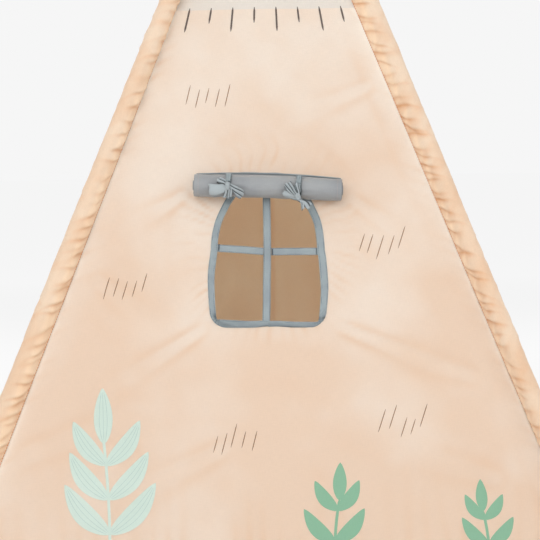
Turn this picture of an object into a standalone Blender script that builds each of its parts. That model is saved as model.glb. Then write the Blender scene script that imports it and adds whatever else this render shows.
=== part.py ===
"""Kids' teepee: four crossed poles in cloth sleeves, with four cloth sides between them.

Metres, +Z up. The origin is on the floor, under the point where the poles cross. The side with
the window faces -Y and the door faces +Y, and left is -X. The feature that takes the most skill is
the reciprocal crossing of the poles, each tangent to the same small circle, with sleeves that are
lofted from the straight seams to those skewed poles.
"""
import math

import bmesh
import bpy
import numpy as np
from mathutils import Matrix, Vector

# Clearances
CLEARANCE = 0.0003
CUT_OVERRUN = 0.004

# Cover: its four seams are the edges of a square pyramid
SEAM_HALF_BASE = 0.514
SEAM_MEETING_HEIGHT = 1.350
COVER_TOP_HEIGHT = 1.170
HEM_HEIGHT = 0.020
CLOTH = 0.0015
RIPPLE_DEPTH = 0.003
RIPPLE_HEIGHT = 0.230
RIPPLE_WIDTH = 0.128

# Poles
POLE_DIAMETER = 0.024
POLE_LENGTH = 1.800
POLE_JOINT_FROM_FOOT = 0.900
SEAM_TO_POLE = 0.026
POLE_LINED_UP_HEIGHT = 0.500
POLE_FOOT_CHAMFER = 0.001
FOLD_DEGREES = 22.0

# Ferrules, which join the two lengths of a pole
FERRULE_LENGTH = 0.100
FERRULE_WALL = 0.0012
TENON_CHAMFER = 0.0015

# Rubber feet, with a level sole
FOOT_HEIGHT = 0.038
FOOT_WALL = 0.0026
FOOT_RIM_CHAMFER = 0.001
SOLE_THICKNESS = 0.004

# Sleeves
SLEEVE_WALL = 0.001
SLEEVE_EASE = 0.0005
SLEEVE_FOOT_HEIGHT = 0.048

# Door
DOOR_HEAD_HEIGHT = 0.800
DOOR_FLAP_GAP = 0.004
DOOR_FOLD_DEPTH = 0.008
DOOR_FOLD_WIDTH = 0.105
DOOR_TIE_HEIGHT = 0.560
DOOR_TIE_LENGTH = 0.130
DOOR_TIE_WIDTH = 0.014
DOOR_TIE_THICKNESS = 0.0012
DOOR_TIE_CLEARANCE = 0.0007

# Window, measured up the slope of the front side from the floor
WINDOW_BOTTOM = 0.424
WINDOW_SPRING = 0.560
WINDOW_TOP = 0.697
WINDOW_HALF_BOTTOM = 0.102
WINDOW_HALF_SPRING = 0.097
WINDOW_CORNER_RADIUS = 0.026
WINDOW_TILT_DEGREES = 0.9
BINDING_WIDTH = 0.011
BINDING_THICKNESS = 0.0012
STRAP_WIDTH = 0.013
STRAP_THICKNESS = 0.0012
UPRIGHT_STRAP_OFFSET = 0.005
LEVEL_STRAP_SLOPE = 0.557
LEFT_STRAP_RISE = 0.007

# Rolled window flap and its two ties
FLAP_CLOTH = 0.0022
ROLL_LENGTH = 0.254
ROLL_RADIUS = 0.0205
ROLL_TURN_PITCH = 0.0034
ROLL_CENTRE = 0.6625
ROLL_DROOP_DEGREES = 2.9
FLAP_TAIL_RISE = 0.012
FLAP_SEAM_RISE = 0.0095
TIE_WIDTH = 0.008
TIE_THICKNESS = 0.001
TIE_SPACING = 0.118
TIE_OFFSET = 0.008
TIE_BACK_RISE = 0.008
KNOT_WIDTH = 0.013
KNOT_HEIGHT = 0.014
KNOT_DEPTH = 0.008
KNOT_ROUNDING = 0.003
BOW_LOOP_LENGTH = 0.031
BOW_LOOP_DEPTH = 0.007
BOW_TAIL_LENGTH = 0.034
BOW_TILT_DEGREES = 16.0
BOW_TAIL_SPREAD_DEGREES = 34.0

# Lashing
ROPE_DIAMETER = 0.005
ROPE_TURN_GAP = 0.0012
ROPE_END_GAP = 0.0006
LASHING_KNOT_WIDTH = 0.015
LASHING_KNOT_ROUNDING = 0.002
LASHING_TAIL_LENGTH = 0.038
LASHING_TAIL_DROP = 0.006
LASHING_TAIL_SPACING = 0.004

# Numbers of faces and turns
POLE_SIDES = 20
SLEEVE_ARC_STEPS = 12
SLEEVE_LEVELS = 14
ARCH_STEPS = 9
CORNER_STEPS = 4
ROLL_TURNS = 5
ROLL_TURN_STEPS = 16
TIE_ARC_STEPS = 14
BOW_LOOP_STEPS = 10
BOW_TAIL_STEPS = 5
LASHING_TURNS = 3
LASHING_TURN_STEPS = 24
ROPE_SIDES = 8
RIPPLE_STEPS = 6
RIPPLE_ROWS = 4

# Shape of the pyramid
POLE_RADIUS = POLE_DIAMETER / 2
POLE_SLOPE = SEAM_HALF_BASE * math.sqrt(2) / SEAM_MEETING_HEIGHT
POLE_TILT = math.atan(POLE_SLOPE)
SIDE_SLOPE_LENGTH = math.hypot(SEAM_HALF_BASE, SEAM_MEETING_HEIGHT)
SIDE_SIN = SEAM_HALF_BASE / SIDE_SLOPE_LENGTH
SIDE_COS = SEAM_MEETING_HEIGHT / SIDE_SLOPE_LENGTH
HALF_CORNER_ANGLE = (math.pi - math.acos(SIDE_SIN**2)) / 2
EDGE_COS = SIDE_SLOPE_LENGTH / math.hypot(SEAM_HALF_BASE, SIDE_SLOPE_LENGTH)

# The poles cross above the point where the seams meet, each beside the centre line
CROSSING_HEIGHT = SEAM_MEETING_HEIGHT + SEAM_TO_POLE / math.sin(POLE_TILT)
CROSSING_RADIUS = (POLE_DIAMETER + CLEARANCE) * math.hypot(1, math.cos(POLE_TILT)) / (
    2 * math.cos(POLE_TILT))
POLE_TURN = math.atan(
    CROSSING_RADIUS / ((CROSSING_HEIGHT - POLE_LINED_UP_HEIGHT) * POLE_SLOPE))
FLOOR_REACH = CROSSING_HEIGHT / math.cos(POLE_TILT)
POLE_FOOT = FLOOR_REACH - SOLE_THICKNESS / math.cos(POLE_TILT) - POLE_RADIUS * POLE_SLOPE

# Edges of the cloth stand back from the seam, so that neighbouring sides clear each other
SEAM_SETBACK = (CLOTH * (1 - SIDE_SIN**2) + CLEARANCE) / math.sqrt(1 - SIDE_SIN**4)
SLEEVE_BORE = POLE_RADIUS + SLEEVE_EASE
SLEEVE_RADIUS = SLEEVE_BORE + SLEEVE_WALL
SLEEVE_TIP_HALF = SEAM_SETBACK * math.sin(HALF_CORNER_ANGLE) - CLEARANCE / math.sin(HALF_CORNER_ANGLE)
SLEEVE_TIP_BACK = SEAM_SETBACK * math.cos(HALF_CORNER_ANGLE)

# The flap's roll stands off the panel by the binding and by its own tie
ROLL_STAND_OFF = BINDING_THICKNESS + TIE_THICKNESS + 3 * CLEARANCE + ROLL_RADIUS
FLAP_TAIL_TOP = ROLL_RADIUS + FLAP_TAIL_RISE
FLAP_SEAM = FLAP_TAIL_TOP + FLAP_SEAM_RISE
TIE_RADIUS = ROLL_RADIUS + CLEARANCE + TIE_THICKNESS / 2

# A rope's straight steps cut the corners that it goes round, so it lies that much further out
ROPE_STEP = math.tau * (CROSSING_RADIUS + POLE_RADIUS) / LASHING_TURN_STEPS
ROPE_EASE = CLEARANCE + ROPE_DIAMETER / 2 + ROPE_STEP**2 / (8 * POLE_RADIUS + 4 * ROPE_DIAMETER)

CORNERS = {"back_right": 45, "back_left": 135, "front_left": 225, "front_right": 315}
SIDES = {"right": 0, "back": 90, "left": 180, "front": 270}
UP = Vector((0, 0, 1))
CROSSING = Vector((0, 0, CROSSING_HEIGHT))
FRAMES = {}


def ray(degrees):
    """The level unit vector at an azimuth."""
    angle = math.radians(degrees)
    return Vector((math.cos(angle), math.sin(angle), 0))


def frame_of(x_axis, y_axis, z_axis, origin):
    frame = Matrix((x_axis, y_axis, z_axis)).transposed().to_4x4()
    frame.translation = origin
    return frame


def side_frame(degrees):
    """X along the floor line, Y up the slope and Z out of the cloth's outer face."""
    out = ray(degrees)
    up_slope = UP * SIDE_COS - out * SIDE_SIN
    outward = out * SIDE_COS + UP * SIDE_SIN
    return frame_of(up_slope.cross(outward), up_slope, outward, out * SEAM_HALF_BASE)


def pole_frame(degrees):
    """Z up the pole and Y along the axis that it folds about, through the crossing."""
    turned_degrees = degrees - math.degrees(POLE_TURN)
    out, across = ray(turned_degrees), ray(turned_degrees + 90)
    up_pole = UP * math.cos(POLE_TILT) - out * math.sin(POLE_TILT)
    return frame_of(across.cross(up_pole), across, up_pole, CROSSING + across * CROSSING_RADIUS)


def seam_point(degrees, height):
    share_down = 1 - height / SEAM_MEETING_HEIGHT
    return ray(degrees) * (SEAM_HALF_BASE * math.sqrt(2) * share_down) + UP * height


def seam_frame(degrees, height):
    """X out of the corner, Y across it and Z up the seam, at a point of the seam."""
    up_seam = UP * math.cos(POLE_TILT) - ray(degrees) * math.sin(POLE_TILT)
    across = ray(degrees + 90)
    return frame_of(across.cross(up_seam), across, up_seam, seam_point(degrees, height))


def slope_at(height):
    """How far up the slope of a side a height is."""
    return height / SIDE_COS


def half_width(slope):
    """Half the width of a side's cloth, up to its own edge beside the seam."""
    return SEAM_HALF_BASE * (1 - slope / SIDE_SLOPE_LENGTH) - SEAM_SETBACK / EDGE_COS


def material(name, colour, roughness, metallic=0.0):
    made = bpy.data.materials.new(name)
    made.use_nodes = True
    shader = made.node_tree.nodes["Principled BSDF"]
    shader.inputs["Base Color"].default_value = (*colour, 1)
    shader.inputs["Roughness"].default_value = roughness
    shader.inputs["Metallic"].default_value = metallic
    made.diffuse_color = (*colour, 1)
    return made


def joint(name, frame, parent=None):
    """An empty on the axis that a body turns about."""
    empty = bpy.data.objects.new(name, None)
    bpy.context.collection.objects.link(empty)
    empty.parent = bpy.data.objects[parent] if parent else None
    empty.matrix_basis = (FRAMES[parent].inverted() if parent else Matrix()) @ frame
    FRAMES[name] = frame
    return empty


def skin(rings, closed=False):
    """A solid through rings of points. A ring of one point is a tip, and closed joins both ends."""
    solid = bmesh.new()
    loops = [[solid.verts.new(point) for point in ring] for ring in rings]
    for low, high in zip(loops, loops[1:] + loops[:1] * closed):
        for k in range(max(len(low), len(high))):
            corners = [low[k % len(low)], low[(k + 1) % len(low)],
                       high[(k + 1) % len(high)], high[k % len(high)]]
            corners = list(dict.fromkeys(corners))
            if len(corners) > 2:
                solid.faces.new(corners)
    if not closed:
        for end in (loops[0], loops[-1]):
            if len(end) > 2:
                solid.faces.new(end)
    bmesh.ops.recalc_face_normals(solid, faces=solid.faces)
    return solid


def turned(profile):
    """An outline of radii and heights, turned about Z. Its first and last points join."""
    turns = [ray(360 * k / POLE_SIDES) for k in range(POLE_SIDES)]
    rings = [[turn * radius + UP * height for turn in turns] if radius else [UP * height]
             for radius, height in profile]
    return skin(rings, closed=bool(profile[0][0]))


def add(name, solid, finish, body, frame=Matrix()):
    """Make an object of a solid that was modelled in frame, carried by a body's empty."""
    solid.transform(FRAMES[body].inverted() @ frame)
    mesh = bpy.data.meshes.new(name)
    solid.to_mesh(mesh)
    solid.free()
    mesh.materials.append(finish)
    mesh.shade_smooth()
    mesh.set_sharp_from_angle(angle=math.radians(32))
    made = bpy.data.objects.new(name, mesh)
    bpy.context.collection.objects.link(made)
    made.parent = bpy.data.objects[body]
    return made


def combine(target, operand, operation):
    """Cut an object by another, or join it to another, which is then only a guide."""
    operand.hide_render = True
    operand.display_type = "WIRE"
    change = target.modifiers.new(operand.name, "BOOLEAN")
    change.operation = operation
    change.object = operand


def ribbon(path, across, width, thickness):
    """A tape along a path of points, with its width along across."""
    rings = []
    for k, point in enumerate(path):
        along = (path[min(k + 1, len(path) - 1)] - path[max(k - 1, 0)]).normalized()
        side = (across - along * across.dot(along)).normalized()
        rise = along.cross(side)
        rings.append([point + side * (x * width / 2) + rise * (y * thickness / 2)
                      for x, y in ((-1, -1), (1, -1), (1, 1), (-1, 1))])
    return skin(rings)


# Poles, ferrules and feet

def tenon(joint_height, direction):
    """The stepped end of a pole length inside the ferrule, from its tip to its shoulder."""
    radius = POLE_RADIUS - FERRULE_WALL - CLEARANCE
    tip = joint_height + direction * CLEARANCE / 2
    shoulder = joint_height + direction * (FERRULE_LENGTH / 2 + CLEARANCE)
    return [(0, tip), (radius - TENON_CHAMFER, tip), (radius, tip + direction * TENON_CHAMFER),
            (radius, shoulder), (POLE_RADIUS, shoulder)]


def add_pole(corner, wood, steel, rubber):
    body = f"pole_{corner}_axis"
    frame = FRAMES[body]
    joint_height = POLE_JOINT_FROM_FOOT - POLE_FOOT
    top = POLE_LENGTH - POLE_FOOT
    foot_end = [(POLE_RADIUS, POLE_FOOT_CHAMFER - POLE_FOOT),
                (POLE_RADIUS - POLE_FOOT_CHAMFER, -POLE_FOOT), (0, -POLE_FOOT)]
    add(f"pole_lower_{corner}", turned(tenon(joint_height, -1) + foot_end), wood, body, frame)
    dome = [(POLE_RADIUS * math.cos(angle), top - POLE_RADIUS + POLE_RADIUS * math.sin(angle))
            for angle in np.radians((0, 30, 60))]
    upper_end = dome + [(0, top)]
    add(f"pole_upper_{corner}", turned(tenon(joint_height, 1) + upper_end), wood, body, frame)
    bore = POLE_RADIUS - FERRULE_WALL
    low, high = joint_height - FERRULE_LENGTH / 2, joint_height + FERRULE_LENGTH / 2
    pipe = turned([(bore, low), (POLE_RADIUS, low), (POLE_RADIUS, high), (bore, high)])
    add(f"ferrule_{corner}", pipe, steel, body, frame)
    add(f"foot_{corner}", foot_cup(frame), rubber, body, frame)


def foot_cup(frame):
    """A cup round the pole's end, cut level where it meets the floor."""
    bore = POLE_RADIUS + CLEARANCE
    outside = bore + FOOT_WALL
    rim = FOOT_HEIGHT - POLE_FOOT
    bottom = -FLOOR_REACH - outside * POLE_SLOPE - CUT_OVERRUN
    inner_floor = -POLE_FOOT - CLEARANCE
    cup = turned([(0, bottom), (outside, bottom), (outside, rim - FOOT_RIM_CHAMFER),
                  (outside - FOOT_RIM_CHAMFER, rim), (bore, rim), (bore, inner_floor),
                  (0, inner_floor)])
    to_pole = frame.inverted()
    cut = bmesh.ops.bisect_plane(cup, geom=cup.verts[:] + cup.edges[:] + cup.faces[:],
                                 plane_co=to_pole @ Vector(), plane_no=to_pole.to_3x3() @ -UP,
                                 clear_outer=True)
    edges = [e for e in cut["geom_cut"] if isinstance(e, bmesh.types.BMEdge)]
    bmesh.ops.edgeloop_fill(cup, edges=edges)
    bmesh.ops.recalc_face_normals(cup, faces=cup.faces)
    return cup


# Sleeves, and the ties that hold the door open

def sleeve_ring(corner, height):
    """The middle of the pole in a cut across a seam, the tip's two corners and the arc between."""
    frame = seam_frame(CORNERS[corner], height)
    to_seam = frame.inverted()
    pole = FRAMES[f"pole_{corner}_axis"]
    start = to_seam @ pole.translation
    along = to_seam.to_3x3() @ pole.col[2].to_3d()
    middle = start - along * (start.z / along.z)
    tips = [Vector((-SLEEVE_TIP_BACK, side * SLEEVE_TIP_HALF, 0)) for side in (-1, 1)]
    turns = []
    for tip, side in zip(tips, (-1, 1)):
        reach = tip - middle
        swing = math.acos(SLEEVE_RADIUS / reach.length)
        turns.append(math.atan2(reach.y, reach.x) % math.tau - side * swing)
    arc = [middle + Vector((math.cos(a), math.sin(a), 0)) * SLEEVE_RADIUS
           for a in np.linspace(turns[1], turns[0] - math.tau, SLEEVE_ARC_STEPS)]
    return frame, middle, tips, arc


def add_sleeve(corner, canvas):
    outer, inner = [], []
    for height in np.linspace(SLEEVE_FOOT_HEIGHT, COVER_TOP_HEIGHT, SLEEVE_LEVELS):
        frame, middle, tips, arc = sleeve_ring(corner, height)
        inward = SLEEVE_BORE / SLEEVE_RADIUS
        outer.append([frame @ point for point in tips + arc])
        inner.append([frame @ (middle + (point - middle) * inward) for point in tips + arc])
    add(f"sleeve_{corner}", skin(outer + inner[::-1], closed=True), canvas, f"pole_{corner}_axis")


def add_door_tie(corner, flank, canvas):
    """A tape sewn along the sleeve's flank, on the side away from the door."""
    rings = []
    half_rise = DOOR_TIE_LENGTH / 2 * math.cos(POLE_TILT)
    for height in (DOOR_TIE_HEIGHT - half_rise, DOOR_TIE_HEIGHT + half_rise):
        frame, middle, tips, arc = sleeve_ring(corner, height)
        tip, end = (tips[1], arc[0]) if flank > 0 else (tips[0], arc[-1])
        along = (end - tip).normalized()
        outward = Vector((-along.y, along.x, 0)) * flank
        first = tip + (end - tip) / 2 - along * (DOOR_TIE_WIDTH / 2) + outward * DOOR_TIE_CLEARANCE
        rings.append([frame @ (first + along * x + outward * y)
                      for x, y in ((0, 0), (DOOR_TIE_WIDTH, 0),
                                   (DOOR_TIE_WIDTH, DOOR_TIE_THICKNESS), (0, DOOR_TIE_THICKNESS))])
    name = "door_tie_" + corner.split("_")[1]
    add(name, skin(rings), canvas, f"pole_{corner}_axis")


# Cloth sides

def ripple(share, slope, wave_width, depth, height, width):
    """How far the cloth swells outward: folds that fade upward and towards both edges."""
    fade = max(0, 1 - (slope - slope_at(HEM_HEIGHT)) / height)
    waves = max(1, round(width / wave_width))
    return depth * fade**2 * math.sin(math.pi * share) ** 2 * math.sin(math.tau * waves * share)


def cloth(bottom, top, left_edge, right_edge, wave_width, depth, height):
    """A sheet between two edges, its outer face on the side's plane, with folds at the hem."""
    width = right_edge(bottom) - left_edge(bottom)
    columns = max(1, round(width / wave_width)) * RIPPLE_STEPS
    fade_end = min(bottom + height, top)
    slopes = [*np.linspace(bottom, fade_end, RIPPLE_ROWS + 1), top]
    rings = []
    for slope in slopes[:-1] if fade_end == top else slopes:
        outer = []
        for share in np.linspace(0, 1, columns + 1):
            x = left_edge(slope) + (right_edge(slope) - left_edge(slope)) * share
            outer.append(Vector((x, slope, ripple(share, slope, wave_width, depth, height, width))))
        inner = [point - UP * CLOTH for point in reversed(outer)]
        rings.append(outer + inner)
    return skin(rings)


def add_side(name, side, canvas):
    bottom, top = slope_at(HEM_HEIGHT), slope_at(COVER_TOP_HEIGHT)
    sheet = cloth(bottom, top, lambda slope: -half_width(slope), half_width,
                  RIPPLE_WIDTH, RIPPLE_DEPTH, RIPPLE_HEIGHT)
    return add(name, sheet, canvas, f"side_{side}_axis", side_frame(SIDES[side]))


def add_door(canvas):
    bottom, head, top = (slope_at(z) for z in (HEM_HEIGHT, DOOR_HEAD_HEIGHT, COVER_TOP_HEIGHT))
    frame = side_frame(SIDES["back"])
    rings = []
    for slope in (head, top):
        x = half_width(slope)
        rings.append([Vector((x, slope, 0)), Vector((-x, slope, 0)),
                      Vector((-x, slope, -CLOTH)), Vector((x, slope, -CLOTH))])
    add("door_head_panel", skin(rings), canvas, "side_back_axis", frame)
    flap_top = head - CLEARANCE
    for name, left_edge, right_edge in (
            ("left", lambda slope: DOOR_FLAP_GAP / 2, half_width),
            ("right", lambda slope: -half_width(slope), lambda slope: -DOOR_FLAP_GAP / 2)):
        flap = cloth(bottom, flap_top, left_edge, right_edge,
                     DOOR_FOLD_WIDTH, DOOR_FOLD_DEPTH, flap_top - bottom)
        add(f"door_flap_{name}", flap, canvas, f"door_flap_{name}_axis", frame)


# Window

def window_outline():
    """The outside of the binding, anticlockwise from the middle of the bottom."""
    centre = Vector((WINDOW_HALF_BOTTOM - WINDOW_CORNER_RADIUS,
                     WINDOW_BOTTOM + WINDOW_CORNER_RADIUS, 0))
    right = [centre + ray(degrees) * WINDOW_CORNER_RADIUS
             for degrees in np.linspace(-90, 0, CORNER_STEPS + 1)]
    for angle in np.linspace(0, math.pi / 2, ARCH_STEPS)[:-1]:
        right.append(Vector((WINDOW_HALF_SPRING * math.cos(angle),
                             WINDOW_SPRING + (WINDOW_TOP - WINDOW_SPRING) * math.sin(angle), 0)))
    left = [Vector((-point.x, point.y, 0)) for point in reversed(right)]
    return right + [Vector((0, WINDOW_TOP, 0))] + left


def inset(outline, distance):
    """An anticlockwise outline moved inward by a distance, with mitred corners."""
    moved = []
    for k, point in enumerate(outline):
        before = (point - outline[k - 1]).normalized()
        after = (outline[(k + 1) % len(outline)] - point).normalized()
        inward = UP.cross(before) + UP.cross(after)
        moved.append(point + inward * (2 * distance / inward.length_squared))
    return moved


def edge_at(outline, value, axis, side):
    """Where an outline crosses a value of one axis, on the side asked for, along the other."""
    found = []
    for k, point in enumerate(outline):
        a, b = outline[k - 1], point
        if (a[axis] - value) * (b[axis] - value) <= 0 and a[axis] != b[axis]:
            share = (value - a[axis]) / (b[axis] - a[axis])
            found.append((a + (b - a) * share)[1 - axis])
    return max(found) if side > 0 else min(found)


def add_binding(outline, canvas, frame):
    """A tape folded over the edge of the opening: a channel, swept round the outline."""
    out_low, out_high = CLEARANCE, CLEARANCE + BINDING_THICKNESS
    in_high, in_low = -CLOTH - CLEARANCE, -CLOTH - CLEARANCE - BINDING_THICKNESS
    web = BINDING_WIDTH - BINDING_THICKNESS
    profile = ((0, out_low), (0, out_high), (BINDING_WIDTH, out_high), (BINDING_WIDTH, in_low),
               (0, in_low), (0, in_high), (web, in_high), (web, out_low))
    insets = {across: inset(outline, across) for across in (0, web, BINDING_WIDTH)}
    rings = [[insets[across][k] + UP * out for across, out in profile]
             for k in range(len(outline))]
    add("window_binding", skin(rings, closed=True), canvas, "side_front_axis", frame)


def add_strap(name, corners, canvas, frame):
    """A flat tape in the plane of the cloth, from the corners of its outline."""
    middle = -CLOTH / 2
    rings = [[Vector((x, y, middle + side * STRAP_THICKNESS / 2)) for x, y in corners]
             for side in (-1, 1)]
    add(name, skin(rings), canvas, "side_front_axis", frame)


def window_frame():
    """The front side's frame, turned clockwise about the middle of the window."""
    middle = side_frame(SIDES["front"]) @ Matrix.Translation((0, WINDOW_SPRING, 0))
    turned_frame = middle @ Matrix.Rotation(-math.radians(WINDOW_TILT_DEGREES), 4, "Z")
    return turned_frame @ Matrix.Translation((0, -WINDOW_SPRING, 0))


def add_window(canvas, tape):
    frame = window_frame()
    panel = add_side("window_panel", "front", canvas)
    outline = window_outline()
    opening = inset(outline, BINDING_WIDTH - BINDING_THICKNESS - CLEARANCE)
    faces = [[point + UP * out for point in opening] for out in (-CUT_OVERRUN, CUT_OVERRUN)]
    combine(panel, add("window_cut", skin(faces), canvas, "side_front_axis", frame), "DIFFERENCE")
    add_binding(outline, tape, frame)

    clear = inset(outline, BINDING_WIDTH + CLEARANCE)
    left, right = (-UPRIGHT_STRAP_OFFSET + side * STRAP_WIDTH / 2 for side in (-1, 1))
    low = max(edge_at(clear, x, 0, -1) for x in (left, right))
    high = min(edge_at(clear, x, 0, 1) for x in (left, right))
    add_strap("window_strap_upright", ((left, low), (right, low), (right, high), (left, high)),
              tape, frame)
    for name, inner, side, rise in (("left", left - CLEARANCE, -1, LEFT_STRAP_RISE),
                                    ("right", right + CLEARANCE, 1, 0)):
        low, high = LEVEL_STRAP_SLOPE - STRAP_WIDTH / 2, LEVEL_STRAP_SLOPE + STRAP_WIDTH / 2
        outer_low, outer_high = (edge_at(clear, y + rise, 1, side) for y in (low, high))
        corners = ((inner, low), (outer_low, low + rise), (outer_high, high + rise), (inner, high))
        add_strap(f"window_strap_{name}", corners, tape, frame)


# Rolled flap, in a frame with X along the roll, Y up the slope and Z outward from its middle

def flap_path():
    """The middle of the flap's cloth, from its seam down into the roll."""
    middle = ROLL_RADIUS - FLAP_CLOTH / 2
    at_panel = -ROLL_STAND_OFF + CLEARANCE + FLAP_CLOTH / 2
    path = [(FLAP_SEAM, at_panel), (FLAP_SEAM - FLAP_SEAM_RISE / 4, at_panel),
            (FLAP_TAIL_TOP, -middle)]
    for step in range(ROLL_TURNS * ROLL_TURN_STEPS + 1):
        turn = step / ROLL_TURN_STEPS
        angle = math.pi + math.tau * turn
        radius = middle - ROLL_TURN_PITCH * turn
        path.append((radius * math.sin(angle), radius * math.cos(angle)))
    return [Vector((0, y, z)) for y, z in path]


def tie_path():
    """The middle of a tie, from the flap's seam over the roll's front and up behind it."""
    start = Vector((0, FLAP_TAIL_TOP, -ROLL_RADIUS + FLAP_CLOTH + CLEARANCE + TIE_THICKNESS / 2))
    leave = math.atan2(start.y, start.z) - math.acos(TIE_RADIUS / start.length)
    path = [start]
    for angle in np.linspace(leave, -math.pi, TIE_ARC_STEPS):
        path.append(Vector((0, TIE_RADIUS * math.sin(angle), TIE_RADIUS * math.cos(angle))))
    return path + [Vector((0, TIE_BACK_RISE, -TIE_RADIUS))]


def rounded_block(size, rounding):
    block = bmesh.new()
    bmesh.ops.create_cube(block, size=1)
    bmesh.ops.scale(block, vec=size, verts=block.verts)
    bmesh.ops.bevel(block, geom=block.edges[:], offset=rounding, segments=2, profile=0.5,
                    affect="EDGES")
    return block


def add_tie(side, tape, frame):
    """A band round the roll, with a knot, two loops and two tails in front."""
    name = "left" if side < 0 else "right"
    place = frame @ Matrix.Translation((side * TIE_SPACING / 2 - TIE_OFFSET, 0, 0))
    level = Vector((1, 0, 0))
    tie = add(f"window_tie_{name}", ribbon(tie_path(), level, TIE_WIDTH, TIE_THICKNESS), tape,
              "window_flap_axis", place)
    front = TIE_RADIUS + KNOT_DEPTH / 2 - TIE_THICKNESS
    knot_place = place @ Matrix.Translation((0, 0, front)) @ Matrix.Rotation(
        side * math.radians(BOW_TILT_DEGREES), 4, "Z")
    knot = rounded_block((KNOT_WIDTH, KNOT_HEIGHT, KNOT_DEPTH), KNOT_ROUNDING)
    combine(tie, add(f"knot_{name}", knot, tape, "window_flap_axis", knot_place), "UNION")
    for end in (-1, 1):
        loop = []
        for angle in np.linspace(0, math.tau, BOW_LOOP_STEPS):
            reach = BOW_LOOP_LENGTH * math.sin(angle / 2)
            bulge = -BOW_LOOP_DEPTH / 2 * math.sin(angle)
            loop.append(Vector((end * reach, 0, bulge)))
        loop_place = knot_place @ Matrix.Rotation(-end * math.radians(BOW_TILT_DEGREES / 2), 4, "Z")
        solid = ribbon(loop, Vector((0, 1, 0)), TIE_WIDTH, TIE_THICKNESS)
        combine(tie, add(f"loop_{name}_{end}", solid, tape, "window_flap_axis", loop_place), "UNION")
        tail = []
        slant = math.tan(math.radians(BOW_TAIL_SPREAD_DEGREES / 2))
        radius = TIE_RADIUS + TIE_THICKNESS + CLEARANCE + TIE_THICKNESS * (2 + end) / 2
        for share in np.linspace(0, 1, BOW_TAIL_STEPS):
            drop = BOW_TAIL_LENGTH * share
            angle = -drop / radius
            tail.append(Vector((end * slant * drop, radius * math.sin(angle),
                                radius * math.cos(angle))))
        solid = ribbon(tail, level, TIE_WIDTH, TIE_THICKNESS)
        combine(tie, add(f"tail_{name}_{end}", solid, tape, "window_flap_axis", place), "UNION")


def add_flap(canvas, tape, frame):
    path = flap_path()
    left, right = [], []
    for k, point in enumerate(path):
        along = (path[min(k + 1, len(path) - 1)] - path[max(k - 1, 0)]).normalized()
        across = Vector((0, -along.z, along.y)) * (FLAP_CLOTH / 2)
        left.append(point + across)
        right.append(point - across)
    outline = left + right[::-1]
    ends = [[point + Vector((x, 0, 0)) for point in outline]
            for x in (-ROLL_LENGTH / 2, ROLL_LENGTH / 2)]
    add("window_flap", skin(ends), canvas, "window_flap_axis", frame)
    for side in (-1, 1):
        add_tie(side, tape, frame)


# Lashing

def bundle_reach(degrees, height):
    """How far the four poles reach from the centre line in a direction, standing or folded."""
    out = ray(degrees)
    reach = []
    for tilt in (POLE_TILT, POLE_TILT - math.radians(FOLD_DEGREES)):
        for azimuth in CORNERS.values():
            pole_out = ray(azimuth - math.degrees(POLE_TURN))
            across = UP.cross(pole_out)
            middle = across * CROSSING_RADIUS - pole_out * (height * math.tan(tilt))
            swell = math.hypot(POLE_RADIUS / math.cos(tilt) * out.dot(pole_out),
                               POLE_RADIUS * out.dot(across))
            reach.append(middle.dot(out) + swell)
    return max(reach)


def rope_radius(degrees, height):
    """How far out the middle of a rope pulled tight round the poles lies."""
    return min((bundle_reach(degrees + turn, height) + ROPE_EASE) / math.cos(math.radians(turn))
               for turn in range(-60, 61, 3))


def lashing_path():
    """Three turns, whose ends come forward over the others and run straight into the knot."""
    pitch = ROPE_DIAMETER + ROPE_TURN_GAP
    bottom = -pitch * LASHING_TURNS / 2
    lift = ROPE_DIAMETER + ROPE_END_GAP
    front = -max(bundle_reach(-90, end) for end in (bottom, -bottom)) - ROPE_EASE - lift
    end_x = LASHING_KNOT_WIDTH / 2 + CLEARANCE
    steps = LASHING_TURNS * LASHING_TURN_STEPS
    path = [Vector((end_x, front, bottom)), Vector((end_x + ROPE_DIAMETER, front, bottom))]
    for step in range(1, steps):
        degrees = 360 * step / LASHING_TURN_STEPS - 90
        height = bottom + pitch * step / LASHING_TURN_STEPS
        from_end = min(step, steps - step) / LASHING_TURN_STEPS
        forward = max(0, math.cos(math.tau * min(from_end, 1 / 4)))
        point = ray(degrees) * (rope_radius(degrees, height) + lift * forward)
        if from_end > 1 / 8 or abs(point.x) > end_x + 2 * ROPE_DIAMETER:
            path.append(point + UP * height)
    path += [Vector((-end_x - ROPE_DIAMETER, front, -bottom)), Vector((-end_x, front, -bottom))]
    return path, front, pitch


def least_gap(path):
    """The least gap of a winding to itself, measured between points a part of a turn apart."""
    fine = np.array([a.lerp(b, t) for a, b in zip(path, path[1:]) for t in (0, 0.25, 0.5, 0.75)])
    apart = LASHING_TURN_STEPS * 2
    distances = [np.linalg.norm(fine[k + apart:] - fine[k], axis=1).min()
                 for k in range(len(fine) - apart)]
    return min(distances) - ROPE_DIAMETER


def tube(name, path, finish, body):
    """A round rope along a path, as a curve with filled ends."""
    curve = bpy.data.curves.new(name, "CURVE")
    curve.dimensions = "3D"
    curve.bevel_depth = ROPE_DIAMETER / 2
    curve.bevel_resolution = 1
    curve.use_fill_caps = True
    spline = curve.splines.new("POLY")
    spline.points.add(len(path) - 1)
    for point, place in zip(spline.points, path):
        point.co = (*place, 1)
    curve.materials.append(finish)
    made = bpy.data.objects.new(name, curve)
    bpy.context.collection.objects.link(made)
    made.parent = bpy.data.objects[body]
    return made


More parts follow.
